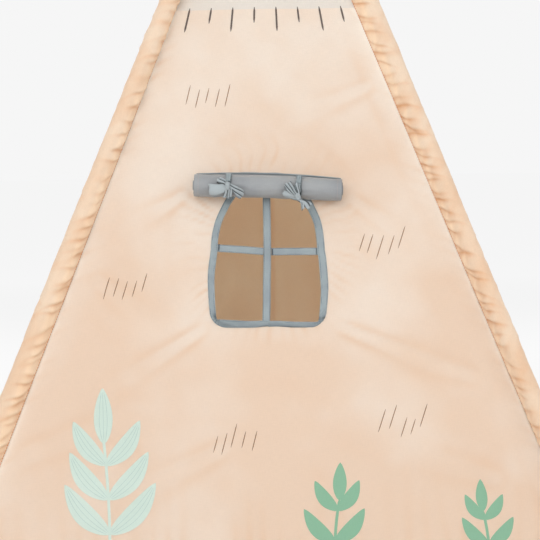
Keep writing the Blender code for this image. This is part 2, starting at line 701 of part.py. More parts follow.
def rope_end(start, end):
    """A straight stub of rope between two points."""
    side = (end - start).orthogonal().normalized()
    other = (end - start).cross(side).normalized()
    turns = [ray(360 * k / ROPE_SIDES) for k in range(ROPE_SIDES)]
    return skin([[point + (side * turn.x + other * turn.y) * (ROPE_DIAMETER / 2)
                  for turn in turns] for point in (start, end)])


def add_lashing(rope):
    path, front, pitch = lashing_path()
    tube("lashing", path, rope, "apex")
    print(f"lashing: least gap to itself {1000 * least_gap(path):.2f} mm")
    height = pitch * LASHING_TURNS + ROPE_DIAMETER
    depth = 2 * ROPE_DIAMETER
    block = rounded_block((LASHING_KNOT_WIDTH, depth, height), LASHING_KNOT_ROUNDING)
    middle = front + ROPE_DIAMETER / 2 - depth / 2
    place = FRAMES["apex"] @ Matrix.Translation((0, middle, 0))
    knot = add("lashing_knot", block, rope, "apex", place)
    for side in (-1, 1):
        start = Vector((0, front - ROPE_DIAMETER, side * LASHING_TAIL_SPACING / 2))
        end = start + Vector((side * LASHING_TAIL_LENGTH, -ROPE_DIAMETER, -LASHING_TAIL_DROP))
        tail = add(f"knot_tail_{side}", rope_end(start, end), rope, "apex", FRAMES["apex"])
        combine(knot, tail, "UNION")


def add_joints():
    joint("apex", Matrix.Translation(CROSSING))
    for corner, degrees in CORNERS.items():
        joint(f"pole_{corner}_axis", pole_frame(degrees))
    for side, degrees in SIDES.items():
        frame = side_frame(degrees)
        frame.translation = CROSSING
        joint(f"side_{side}_axis", frame)
    for side in ("left", "right"):
        joint(f"door_flap_{side}_axis", seam_frame(CORNERS[f"back_{side}"], HEM_HEIGHT),
              f"pole_back_{side}_axis")


def flap_frame():
    middle = side_frame(SIDES["front"]) @ Matrix.Translation((0, ROLL_CENTRE, ROLL_STAND_OFF))
    return middle @ Matrix.Rotation(-math.radians(ROLL_DROOP_DEGREES), 4, "Z")


def build():
    for old in list(bpy.data.objects):
        bpy.data.objects.remove(old)
    canvas = material("printed_canvas", (0.78, 0.62, 0.48), 0.85)
    tape = material("grey_tape", (0.30, 0.37, 0.40), 0.80)
    lining = material("grey_lining", (0.34, 0.36, 0.39), 0.60)
    wood = material("pine", (0.72, 0.52, 0.32), 0.55)
    steel = material("zinc_plated_steel", (0.60, 0.61, 0.63), 0.35, 0.9)
    rubber = material("grey_rubber", (0.09, 0.09, 0.10), 0.75)
    rope = material("cotton_rope", (0.70, 0.62, 0.50), 0.90)
    add_joints()
    for corner in CORNERS:
        add_pole(corner, wood, steel, rubber)
        add_sleeve(corner, canvas)
    add_door_tie("back_left", 1, tape)
    add_door_tie("back_right", -1, tape)
    add_side("left_panel", "left", canvas)
    add_side("right_panel", "right", canvas)
    add_door(canvas)
    add_window(canvas, tape)
    frame = flap_frame()
    hinge = frame @ Matrix.Translation((0, FLAP_SEAM, CLEARANCE - ROLL_STAND_OFF))
    joint("window_flap_axis", hinge, "side_front_axis")
    add_flap(lining, tape, frame)
    add_lashing(rope)


build()
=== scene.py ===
"""Kids' teepee: the looks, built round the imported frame. Metres, +Z up; the window side faces -Y."""

import math
from collections import namedtuple

import bpy
import numpy as np
from mathutils import Matrix, Vector


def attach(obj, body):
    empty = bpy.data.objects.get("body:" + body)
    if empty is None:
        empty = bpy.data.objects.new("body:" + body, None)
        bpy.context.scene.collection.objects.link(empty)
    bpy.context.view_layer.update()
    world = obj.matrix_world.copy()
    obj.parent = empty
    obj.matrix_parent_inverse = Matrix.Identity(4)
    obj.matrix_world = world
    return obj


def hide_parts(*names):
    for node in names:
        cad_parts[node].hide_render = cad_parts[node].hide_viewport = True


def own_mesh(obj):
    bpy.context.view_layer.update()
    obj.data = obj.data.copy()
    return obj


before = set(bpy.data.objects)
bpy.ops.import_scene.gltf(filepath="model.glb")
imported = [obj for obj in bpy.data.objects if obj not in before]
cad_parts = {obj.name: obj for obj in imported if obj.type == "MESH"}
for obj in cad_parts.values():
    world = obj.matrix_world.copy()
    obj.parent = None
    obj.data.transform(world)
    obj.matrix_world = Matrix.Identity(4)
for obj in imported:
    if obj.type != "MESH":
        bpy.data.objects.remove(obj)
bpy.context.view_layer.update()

# The cover's pyramid, as in the CAD model
HALF, MEET, TOP, HEM = 0.514, 1.35, 1.17, 0.02
LENGTH = math.hypot(HALF, MEET)
SIN, COS = HALF / LENGTH, MEET / LENGTH
EDGE = 0.0014
V_HEM, V_TOP, V_CAP = HEM / COS, TOP / COS, 1.0
DOOR_HEAD, LEFT_EDGE, RIGHT_EDGE = 0.8 / COS, -0.001, 0.008    # the flaps' edges lap in the middle
UP = Vector((0, 0, 1))

# The cloth: its wall, its hem's and its top's folds, its mesh and the share of it left when gathered
WALL, HEM_FOLD, TOP_FOLD, MESH_PITCH, GATHERED = 0.0009, 0.018, 0.012, 0.0052, 0.17
WINDOW_AREA = 0.046

# The poles and their sleeves
SLOPE = HALF * math.sqrt(2) / MEET
TILT = math.atan(SLOPE)
SEAM_TO_POLE = 0.026
POLE_R, SLEEVE_R, SLEEVE_FLAT, SLEEVE_LOW = 0.012, 0.0135, 0.109, 0.048
CROSS_Z = MEET + SEAM_TO_POLE / math.sin(TILT)
CROSS_R = 0.0243 * math.hypot(1, math.cos(TILT)) / (2 * math.cos(TILT))
TURN = math.atan(CROSS_R / ((CROSS_Z - 0.5) * SLOPE))
FOLD = math.radians(22)
CORNERS = {"back_right": 45, "back_left": 135, "front_left": 225, "front_right": 315}
SIDES = {"right": 0, "back": 90, "left": 180, "front": 270}

# The window and the roll, in the front side's plane
WIN_LOW, WIN_SPRING, WIN_TOP = 0.424, 0.56, 0.697
WIN_HALF_LOW, WIN_HALF_SPRING = 0.102, 0.097
WIN_TILT = math.radians(0.9)
TAPE, STRAP_HALF = 0.011, 0.0064
ROLL_V, ROLL_R, ROLL_HALF, ROLL_OUT = 0.6625, 0.0205, 0.125, 0.0236
ROLL_DROOP = math.radians(2.9)
TIES = (-0.067, 0.051)


def ray(degrees):
    return Vector((math.cos(math.radians(degrees)), math.sin(math.radians(degrees)), 0))


def seam_up(degrees):
    """The way up a seam."""
    return UP * math.cos(TILT) - ray(degrees) * math.sin(TILT)


def frame_of(x, y, z, origin):
    made = Matrix((x, y, z)).transposed().to_4x4()
    made.translation = origin
    return made


def side_frame(degrees):
    """X along the floor line, Y up the slope, Z out of the cloth's outer face."""
    out = ray(degrees)
    up, outward = UP * COS - out * SIN, out * COS + UP * SIN
    return frame_of(up.cross(outward), up, outward, out * HALF)


def pole_frame(degrees):
    degrees -= math.degrees(TURN)
    across, up = ray(degrees + 90), seam_up(degrees)
    return frame_of(across.cross(up), across, up, UP * CROSS_Z + across * CROSS_R)


def half_width(v):
    return HALF * (1 - v / LENGTH) - EDGE


def stack(*arrays):
    """Arrays that broadcast, as one array whose last axis goes through them."""
    return np.stack(np.broadcast_arrays(*arrays), -1)


def place(matrix, points):
    """An array of points, moved by a matrix."""
    m = np.array(matrix)
    return points @ m[:3, :3].T + m[:3, 3]


def on_front(u, v, w):
    """Points in the front side's plane, w out of it."""
    return place(side_frame(270), stack(u, v, w))


def step(x):
    x = np.clip(x, 0, 1)
    return x * x * (3 - 2 * x)


def bell(x, width):
    return np.exp(-(x / width) ** 2)


def decay(x, length):
    return np.exp(-x / length)


def noise(x, y, seed):
    """Smooth noise from -1 to 1, about a unit from one bump to the next."""
    lattice = np.random.default_rng(seed).uniform(-1, 1, (64, 64))
    x, y = np.asarray(x, float), np.asarray(y, float)
    i, j = np.floor(x).astype(int), np.floor(y).astype(int)
    sx, sy = step(x - i), step(y - j)
    low, high = (lattice[k % 64, i % 64] * (1 - sx) + lattice[k % 64, (i + 1) % 64] * sx for k in (j, j + 1))
    return low * (1 - sy) + high * sy


# Materials

def rgb(r, g, b):
    """A colour given as on the screen, 0 to 255, as the linear colour that a shader takes."""
    return [((c / 255 + 0.055) / 1.055) ** 2.4 if c > 10 else c / 3294.6 for c in (r, g, b)] + [1.0]


class Material:
    """A material and short ways to add nodes to it, each of which gives the socket that it ends in."""

    def __init__(self, name, roughness):
        self.made = bpy.data.materials.new(name)
        self.made.use_nodes = True
        self.tree = self.made.node_tree
        self.shader = self.tree.nodes["Principled BSDF"]
        self.feed(self.shader, {"Roughness": roughness})

    def feed(self, node, inputs):
        for key, value in inputs.items():
            if isinstance(value, bpy.types.NodeSocket):
                self.tree.links.new(value, node.inputs[key])
            else:
                node.inputs[key].default_value = value

    def add(self, kind, inputs=(), output=0, **settings):
        made = self.tree.nodes.new("ShaderNode" + kind)
        for key, value in settings.items():
            setattr(made, key, value)
        self.feed(made, dict(inputs))
        return made.outputs[output]

    def solid(self):
        return self.add("TexCoord", output="Object")

    def mark(self, name):
        return self.add("Attribute", output="Fac", attribute_name=name)

    def maths(self, operation, a, b=0.0):
        return self.add("Math", {0: a, 1: b}, operation=operation)

    def vectors(self, operation, a, b, output=0):
        inputs = {0: a, "Scale" if operation == "SCALE" else 1: b}
        return self.add("VectorMath", inputs, output, operation=operation)

    def mix(self, factor, a, b):
        return self.add("Mix", {"Factor": factor, 6: a, 7: b}, 2, data_type="RGBA")

    def noise(self, where, scale, detail, **more):
        return self.add("TexNoise", {"Vector": where, "Scale": scale, "Detail": detail, **more}, "Fac")

    def ranged(self, value, *ends, **settings):
        """A value taken from one range, and to another when that is given."""
        return self.add("MapRange", dict(enumerate((value, *ends))), **settings)

    def bump(self, strength, distance, height, **more):
        return self.add("Bump", {"Strength": strength, "Distance": distance, "Height": height, **more})


def cloth(name, colour, warm, pitch=0.0009, rough=0.85, through=0.0, behind=None, crease=0.0006,
          weave=0.5, sheen=0.15, mottle=5.0, seam=None, fold_shade=None, doubled=None):
    """Woven cloth: a weave along the UV map in metres, slubs, fine creases and a colour that is uneven
    and a little warmer towards the floor.

    seam is the whole width and a lighter colour towards both of its edges: painted light that lifts the shade
    beside the seams.
    The colour for the folds is painted shade down in them, where the mesh's own fold attribute marks them.
    The colour for two thicknesses of cloth at the seams, which let less light through, is partly painted
    light that lifts the shade beside them, where the mesh's own attribute for it marks it.
    """
    colour, warm, behind, fold_shade, doubled = (c and rgb(*c) for c in (colour, warm, behind, fold_shade, doubled))
    m = Material(name, rough)
    where, solid = m.add("UVMap"), m.solid()
    u = m.add("SeparateXYZ", {0: where})
    axes, turns = u.node.outputs[:2], math.tau / pitch
    weaving = m.maths("MULTIPLY", *(m.maths("SINE", m.maths("MULTIPLY", axis, turns)) for axis in axes))
    slub = m.maths("ADD", *(m.noise(m.vectors("MULTIPLY", where, stretch), 1.0, 1.0)
                            for stretch in ((900, 90, 1), (90, 900, 1))))
    spread = m.ranged(m.noise(solid, mottle, 3.0), 0.36, 0.66)
    # Painted shade: the colour turns towards the warm one lower down, darker towards the floor.
    shade_towards_floor = m.ranged(m.add("SeparateXYZ", {0: solid}, 2), 0.1, 1.05, 0.5, -0.5)
    mixed = m.mix(m.maths("ADD", spread, shade_towards_floor), colour, warm)
    shade = m.ranged(m.maths("ADD", slub, m.maths("MULTIPLY", weaving, 0.12)), 0.7, 1.3, 0.965, 1.035)
    # Painted light: lighter towards both edges, against the shade that falls beside the seams.
    if seam:
        edge = m.maths("MINIMUM", u, m.maths("SUBTRACT", seam[0], u))
        near = m.ranged(edge, 0.024, 0.037, 0.85, 0.0, interpolation_type="SMOOTHSTEP")
        mixed = m.mix(near, mixed, rgb(*seam[1]))
    # Painted shade down in the folds that the mesh's fold attribute marks.
    if fold_shade:
        mixed = m.mix(m.mark("fold"), mixed, fold_shade)
    # Two thicknesses of cloth at the seams let less light through; their lighter colour is partly painted light
    # that lifts the shade beside the seams.
    if doubled:
        seam_lightening = m.mark("doubled")
        mixed = m.mix(seam_lightening, mixed, doubled)
        through = m.maths("SUBTRACT", through, m.maths("MULTIPLY", seam_lightening, 0.7 * through))
    creased = m.bump(0.6, crease, m.noise(solid, 55.0, 4.0, Distortion=0.6))
    bump = m.bump(weave, pitch * 0.22, m.maths("ADD", weaving, slub), Normal=creased)
    tint = m.vectors("SCALE", mixed, shade)
    m.feed(m.shader, {"Base Color": tint, "Normal": bump, "Sheen Weight": sheen})
    if through:
        back = m.add("BsdfTranslucent", {"Color": behind, "Normal": bump})
        blend = m.add("MixShader", {0: through, 1: m.shader.outputs[0], 2: back})
        m.feed(m.tree.nodes["Material Output"], {0: blend})
    return m.made


def grained(name, colour, rough, scale, detail=3.0, shades=(0.85, 1.12), strength=0.4, depth=0.0002,
            metal=0.0):
    """One colour in a fine, uneven grain: plated metal or moulded rubber."""
    m = Material(name, rough)
    grain = m.noise(m.solid(), scale, detail)
    dark, light = ([min(1, c * shade) for c in rgb(*colour)[:3]] + [1] for shade in shades)
    m.feed(m.shader, {"Base Color": m.mix(grain, dark, light), "Metallic": metal,
                      "Normal": m.bump(strength, depth, grain)})
    return m.made


def thread(name, *colour):
    """Twisted sewing thread."""
    return grained(name, colour, 0.7, 900.0, 2.0, (0.7, 1.25), 0.5)


def wood(name, axis, origin):
    """Sanded pine with its grain along an axis."""
    m = Material(name, 0.48)
    away = m.vectors("SUBTRACT", m.solid(), origin)
    part = m.vectors("SCALE", axis, m.vectors("DOT_PRODUCT", away, axis, "Value"))
    where = m.vectors("ADD", m.vectors("SUBTRACT", away, part), m.vectors("SCALE", part, 0.045))
    bands = m.add("TexWave", {"Vector": where, "Scale": 48.0, "Distortion": 5.0, "Detail": 3.0,
                              "Detail Scale": 1.4}, "Fac", bands_direction="X")
    fibres = m.noise(where, 700.0, 3.0)
    tone = m.maths("ADD", m.maths("MULTIPLY", bands, 0.7), m.maths("MULTIPLY", fibres, 0.35))
    ramp = m.add("ValToRGB", {0: tone})
    for end, colour in zip(ramp.node.color_ramp.elements, ((196, 152, 106), (233, 203, 160))):
        end.color = rgb(*colour)
    m.feed(m.shader, {"Base Color": ramp, "Normal": m.bump(0.25, 0.0003, tone), "Coat Weight": 0.15,
                      "Coat Roughness": 0.3})
    return m.made


# Each fold colour below is painted shade for the folds that the meshes mark; the canvas's colour at its seams is
# partly painted light.
CANVAS = cloth("canvas", (251, 242, 232), (245, 224, 205), through=0.42, behind=(248, 234, 214),
               fold_shade=(236, 196, 160), doubled=(254, 250, 240))
# The sleeves' canvas: the sides' cloth, its colour darker and warmer as painted shade, with less light going
# through it round the pole.
SHADED_SLEEVE_CLOTH = cloth("sleeve_canvas", (232, 208, 183), (227, 195, 165), through=0.1, behind=(244, 206, 170),
                     mottle=14.0, seam=(SLEEVE_FLAT, (255, 226, 193)), fold_shade=(222, 164, 116))
CAP = cloth("cap_print", (241, 237, 231), (236, 231, 223), through=0.38, behind=(244, 236, 224))
GREEN = cloth("green_print", (146, 190, 162), (134, 180, 151), through=0.12, behind=(170, 190, 150),
              crease=0.0004)
MINT = cloth("mint_print", (216, 233, 225), (206, 226, 216), through=0.2, behind=(220, 220, 200),
             crease=0.0004)
VEIN = cloth("vein_print", (186, 206, 197), (178, 199, 190), crease=0.0003)
BROWN = cloth("brown_print", (158, 126, 102), (146, 114, 90), crease=0.0003)
DARK = cloth("dark_print", (96, 84, 78), (84, 72, 66), crease=0.0003)
GREY_TAPE = cloth("grey_tape", (154, 165, 168), (145, 155, 160), 0.0007, rough=0.75, through=0.08,
                  behind=(170, 175, 175), weave=0.6, sheen=0.2, mottle=26.0, fold_shade=(34, 42, 47))
# The ties: the grey tape again, lighter as painted light, with darker painted shade in their folds.
GREY_TIE_LIT = cloth("grey_tie", (170, 179, 182), (160, 169, 174), 0.0007, rough=0.7, through=0.08,
                 behind=(180, 184, 184), weave=0.6, sheen=0.3, mottle=26.0, fold_shade=(22, 28, 32))
LINING = cloth("grey_lining", (150, 152, 153), (135, 138, 141), 0.0006, rough=0.5, through=0.06,
               behind=(170, 170, 170), weave=0.3, sheen=0.3, mottle=14.0)
ROPE = cloth("cotton_rope", (226, 214, 192), (210, 194, 168), 0.0011, crease=0.0005, weave=0.9, mottle=90.0)
ORANGE_THREAD = thread("seam_thread", 222, 154, 110)
GREY_THREAD = thread("grey_thread", 108, 121, 128)
DARK_THREAD = thread("tack_thread", 82, 90, 96)
PEACH_THREAD = thread("hem_thread", 228, 190, 156)
PINK_THREAD = thread("flap_thread", 176, 160, 158)
STEEL = grained("plated_steel", (196, 198, 200), 0.3, 500.0, depth=0.00005, metal=1.0)
RUBBER = grained("grey_rubber", (92, 92, 95), 0.7, 300.0)

# Each kind of stitch: its thread, pitch, length and radius, and the slot of what it is sewn on
SEWING = {
    "seam": (ORANGE_THREAD, 0.0046, 0.0034, 0.0006, "printed_canvas"),
    "flap_seam": (ORANGE_THREAD, 0.0045, 0.0032, 0.00045, "printed_canvas"),
    "hem": (PEACH_THREAD, 0.0045, 0.0032, 0.00045, "printed_canvas"),
    "tape": (GREY_THREAD, 0.0034, 0.0028, 0.00042, "grey_tape"),
    "tack": (DARK_THREAD, 0.0019, 0.0019, 0.00042, "grey_tape"),
    "door_tack": (DARK_THREAD, 0.0019, 0.0019, 0.0004, "grey_tape"),
    "lining": (PINK_THREAD, 0.0036, 0.0026, 0.00032, "grey_lining"),
}


# Meshes

def finish(name, mesh, body, material, slot, replaces=(), wall=0.0, offset=-1.0):
    made = bpy.data.objects.new(name, mesh)
    bpy.context.scene.collection.objects.link(made)
    mesh.materials.append(material)
    mesh.shade_smooth()
    if wall:
        thick = made.modifiers.new("wall", "SOLIDIFY")
        thick.thickness, thick.offset = wall, offset
    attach(made, body)
    if replaces:
        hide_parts(*replaces)
    return made


def mesh_of(name, points, faces, corner_uv=None):
    """A mesh of the points that the faces use, with a UV map in metres."""
    used, faces = np.unique(faces, return_inverse=True)
    mesh = bpy.data.meshes.new(name)
    mesh.from_pydata(points[used].tolist(), [], faces.reshape(-1, 4).tolist())
    layer = mesh.uv_layers.new(name="UVMap")
    if corner_uv is not None:
        layer.data.foreach_set("uv", corner_uv.reshape(-1).astype(np.float32))
    return mesh


def cells(rows, columns):
    """The row and the column of each cell in a grid."""
    return (a.reshape(-1) for a in np.meshgrid(np.arange(rows), np.arange(columns), indexing="ij"))


def grid(name, points, uv, wrap=False, keep=None):
    """A mesh through rows of points. wrap joins the last column to the first, whose uv has one more."""
    rows, cols = points.shape[:2]
    r, c = cells(rows - 1, cols - (not wrap))
    if keep is not None:
        r, c = r[keep.reshape(-1)], c[keep.reshape(-1)]
    n = (c + 1) % cols
    faces = np.stack([r * cols + c, r * cols + n, (r + 1) * cols + n, (r + 1) * cols + c], -1)
    corner_uv = np.stack([uv[r, c], uv[r, c + 1], uv[r + 1, c + 1], uv[r + 1, c]], 1)
    return mesh_of(name, points.reshape(-1, 3), faces, corner_uv)


def closed(name, points, uv, body, material, slot, replaces=()):
    """A piece through rings of points, whose two ends close at their middles."""
    first, last = (np.broadcast_to(points[k].mean(axis=0), points[k].shape)[None] for k in (0, -1))
    uv = np.concatenate([uv[:1], uv, uv[-1:]])
    mesh = grid(name, np.concatenate([first, points, last]), uv, wrap=True)
    return finish(name, mesh, body, material, slot, replaces)


def mark(mesh, depth, name="fold"):
    """A value from 0 to 1 at each point of a mesh, for its material: by default how far down in a fold it lies,
    which the material darkens as painted shade.
    """
    layer = mesh.attributes.new(name, "FLOAT", "POINT")
    layer.data.foreach_set("value", np.clip(depth, 0, 1).reshape(-1).astype(np.float32))


def along(path):
    """The distance of each point of a path from its start."""
    return np.r_[0, np.cumsum(np.linalg.norm(np.diff(path, axis=0), axis=1))]


def points_at(at, length, path):
    """The points of a path at some distances, from its own points' distances."""
    return np.stack([np.interp(at, length, axis) for axis in path.T], 1)


def resample(path, pitch):
    """A path's points at an even pitch."""
    length = along(path)
    return points_at(np.linspace(0, length[-1], max(2, round(length[-1] / pitch) + 1)), length, path)


def smoothed(path, times):
    """A path with its points, apart from the two ends, drawn towards their neighbours."""
    for _ in range(times):
        path[1:-1] = (path[:-2] + 2 * path[1:-1] + path[2:]) / 4
    return path


def unit(vectors):
    return vectors / np.linalg.norm(vectors, axis=-1, keepdims=True)


def directions(path):
    return unit(np.gradient(path, axis=0))


def stitches(name, paths, body, kind):
    """Rows of sewn stitches: short spindles that dip at both ends."""
    material, pitch, length, radius, slot = SEWING[kind]
    points, faces, sides = [], [], 5
    shape = [(-0.5, 0.35), (-0.3, 0.9), (0, 1.0), (0.3, 0.9), (0.5, 0.35)]
    turns = [math.tau * k / sides for k in range(sides)]
    for path in paths:
        spots = resample(path, pitch)
        ahead = directions(spots)
        side = unit(np.cross(ahead, (0.3, 0.2, 0.93)))
        for spot, a, s, u in zip(spots[:-1], ahead, side, np.cross(side, ahead)):
            base = len(points)
            points += [spot + a * (x * length) + (s * math.cos(t) + u * math.sin(t)) * (r * radius)
                       for x, r in shape for t in turns]
            faces += [(ring + k, ring + (k + 1) % sides, ring + sides + (k + 1) % sides, ring + sides + k)
                      for ring in range(base, base + sides * (len(shape) - 1), sides) for k in range(sides)]
    return finish(name, mesh_of(name, np.array(points), np.array(faces)), body, material, slot)


def tape(name, path, across, width, body, node_name, shape, sides=9):
    """A tape along a path, its width along across. shape lifts it off its own plane."""
    ahead = directions(path)
    across = np.broadcast_to(across, path.shape)
    side = unit(across - ahead * np.sum(across * ahead, axis=1, keepdims=True))
    lift = np.cross(ahead, side)
    width = np.broadcast_to(width, len(path))
    x, length = np.linspace(-0.5, 0.5, sides), along(path)[:, None]
    points = path[:, None] + side[:, None] * (x[None, :, None] * width[:, None, None])
    points = points + lift[:, None] * shape(length, x[None, :])[..., None]
    mesh = grid(name, points, stack(x[None, :] * width.max(), length))
    return finish(name, mesh, body, GREY_TAPE, "grey_tape", [node_name], 0.0008, 0.0)


def cord(name, path, radius, sides, body, material, slot, replaces=(), lobes=0, twists=55):
    """A cord along a path. Its lobes, as those of laid rope, twist round it so many times a metre."""
    ahead = directions(path)
    side = np.zeros_like(path)
    last = np.array([0.1, 0.2, 0.97])
    for k, a in enumerate(ahead):
        last = side[k] = unit(last - a * np.dot(last, a))
    other = np.cross(ahead, side)
    turn = np.linspace(0, math.tau, sides, endpoint=False)[None, :]
    length = along(path)[:, None]
    swell = np.ones((len(path), sides))
    if lobes:
        swell = 0.84 + 0.16 * np.abs(np.sin((turn + twists * math.tau * length) * lobes / 2)) ** 0.8
    radial = side[:, None] * np.cos(turn)[..., None] + other[:, None] * np.sin(turn)[..., None]
    points = path[:, None] + radial * (np.broadcast_to(radius, len(path))[:, None, None] * swell[..., None])
    uv = stack(np.linspace(0, math.tau * np.max(radius), sides + 1)[None, :], length)
    return closed(name, points, uv, body, material, slot, replaces)


# The cloth's relief

def window_outline(inset=0.0):
    """The window's outline, anticlockwise from the middle of its bottom: its corners are softer outside."""
    r, bowed, quarter = 0.029 - 1.9 * inset, 0.0042, math.pi / 2
    low, half, spring = WIN_LOW + inset, WIN_HALF_LOW - 0.0035 - inset, WIN_HALF_SPRING - inset
    right = [(half - r + r * math.cos(a), low + r + r * math.sin(a)) for a in np.linspace(-quarter, 0, 15)]
    right += [(half + (spring - half) * t + bowed * math.sin(math.pi * t),
               low + r + (WIN_SPRING - low - r) * t) for t in np.linspace(0, 1, 16)[1:-1]]
    right += [(spring * math.cos(a), WIN_SPRING + (WIN_TOP - WIN_SPRING - inset) * math.sin(a))
              for a in np.linspace(0, quarter, 60)[:-1]]
    right = np.array(right)
    narrower = right * stack(0.972 - 0.01 * np.clip((right[:, 1] - WIN_LOW) / 0.14, 0, 1), 1)
    return np.concatenate([[(0, low)], narrower, [(0, WIN_TOP - inset)], right[::-1] * (-1, 1)])


def tilted(points):
    """Rows of u and v, turned with the window about its middle."""
    c, s = math.cos(WIN_TILT), math.sin(WIN_TILT)
    return (np.asarray(points) - (0, WIN_SPRING)) @ np.array([[c, -s], [s, c]]) + (0, WIN_SPRING)


def inside(outline, u, v):
    """Whether points are inside an outline."""
    found = np.zeros(u.shape, bool)
    for (ax, ay), (bx, by) in zip(outline, np.roll(outline, -1, axis=0)):
        if ay != by:
            found ^= ((ay > v) != (by > v)) & (u < (bx - ax) * (v - ay) / (by - ay) + ax)
    return found


def crease(u, v, ax, ay, bx, by, depth, width):
    """A soft fold from one point to another, deepest in its first part."""
    length = math.hypot(bx - ax, by - ay)
    t = ((u - ax) * (bx - ax) + (v - ay) * (by - ay)) / length**2
    away = ((u - ax) * (by - ay) - (v - ay) * (bx - ax)) / length
    run = step(t / 0.15) * step((1 - t) / 0.6)
    return depth * run * bell(away, width * (0.6 + 0.9 * np.clip(t, 0, 1)))


# Each crease: where it starts and ends, its depth and its width
CREASES = {
    "front": [(0.1, 0.43, 0.33, 0.33, 0.0016, 0.012), (-0.1, 0.43, -0.3, 0.3, 0.0016, 0.013),
              (0.128, 0.655, 0.255, 0.56, 0.0012, 0.012), (-0.13, 0.665, -0.245, 0.6, 0.0014, 0.012),
              (-0.44, 0.2, -0.06, 0.33, 0.002, 0.022), (0.38, 0.16, 0.12, 0.24, 0.0016, 0.02),
              (-0.06, 0.23, -0.3, 0.11, 0.0018, 0.018), (0.19, 0.86, 0.01, 0.78, 0.0012, 0.014),
              (-0.3, 0.52, -0.15, 0.4, 0.0014, 0.016), (0.35, 0.33, 0.16, 0.39, 0.0012, 0.016)],
    "left": [(-0.4, 0.26, 0.1, 0.42, 0.002, 0.024), (0.35, 0.42, -0.05, 0.3, 0.0018, 0.02),
             (0.24, 0.7, 0, 0.6, 0.0014, 0.016)],
    "right": [(0.42, 0.2, -0.05, 0.36, 0.002, 0.024), (-0.33, 0.46, 0, 0.34, 0.0018, 0.02),
              (-0.2, 0.8, 0.05, 0.7, 0.0014, 0.016)],
    "back": [(-0.15, 0.9, 0.06, 0.98, 0.0012, 0.016), (0.17, 0.87, 0.02, 0.93, 0.0012, 0.014)],
}
SEEDS = {"front": 11, "left": 23, "right": 37, "back": 51}


def ripple(share, v, pitch, depth, height, width):
    """The folds that the CAD model's cloth has."""
    fades = np.clip(1 - (v - V_HEM) / height, 0, None)
    waves = max(1, round(width / pitch))
    return depth * fades**2 * np.sin(math.pi * share) ** 2 * np.sin(math.tau * waves * share)


def relief(side, u, v):
    """How far a side's outer face stands out of its plane."""
    seed, half = SEEDS[side], half_width(v)
    share = np.clip((u + half) / (2 * half), 0, 1)
    in_from = half - np.abs(u)
    inner, near, out = step(in_from / 0.045), 1.0, 0.0
    if side != "back":
        out = ripple(share, v, 0.128, 0.003, 0.23, 2 * half_width(V_HEM))
    swell = 0.0046 * noise(u / 0.19, v / 0.15, seed) + 0.0016 * noise(u / 0.07 + v / 0.2, v / 0.055, seed + 1)
    for fold in CREASES[side]:
        swell = swell + 1.9 * crease(u, v, *fold)
    if side == "front":
        away = np.hypot(u / 0.137, (v - 0.575) / 0.165)
        near = step((away - 0.93) / 0.35)
        turn = np.arctan2(v - 0.575, u)
        pucker = np.sin(turn * 47 + 2.5 * noise(turn * 3 + 20, away * 4, seed + 5))
        pucker = pucker * noise(turn * 6 + 20, away * 3, seed + 6)
        out = out + 0.0006 * pucker * bell(away - 0.9, 0.22)
    out = out + swell * inner * near * step((V_TOP - v) / 0.05)
    hem = decay(np.clip(v - V_HEM, 0, None), 0.045)
    out = out + hem * inner * 0.0009 * np.sin(u * math.tau / 0.031 + 3 * noise(u / 0.07, v / 0.2, seed + 2))
    edge = decay(in_from, 0.014) * step(in_from / 0.004)
    out = out + edge * 0.0012 * noise(np.sign(u) * 7.3, v / 0.011 + np.abs(u) / 0.03, seed + 3)
    return out + 0.0006 * ((v < V_HEM + HEM_FOLD) + 1.0 * (v > V_TOP - TOP_FOLD))


def flap_relief(name, u, v):
    """The door flaps' folds, by the width from each flap's own left edge. The left one lies over the other."""
    at_left = name == "left"
    left, right = (0.002, half_width(v)) if at_left else (-half_width(v), -0.002)
    share = np.clip((u - left) / (right - left), 0, 1)
    out = ripple(share, v, 0.105, 0.008, DOOR_HEAD - V_HEM, half_width(V_HEM) - 0.002)
    inner = step(share / 0.12) * step((1 - share) / 0.12)
    seed = 61 if at_left else 67
    swell = 0.0018 * noise(u / 0.11, v / 0.16, seed) + 0.0008 * noise(u / 0.04, v / 0.05 + u / 0.1, seed + 1)
    lap = 0 if at_left else -0.0024 * step((u + 0.022) / 0.016)
    return out + swell * inner * step((DOOR_HEAD - v) / 0.04) + lap


# A cloth's outer face: its side, its body and the function for how far it stands out of the side's plane
Face = namedtuple("Face", "side body surface")


def on_face(face, u, v, lift=0.0):
    return place(side_frame(SIDES[face.side]), stack(u, v, face.surface(u, v) + lift))


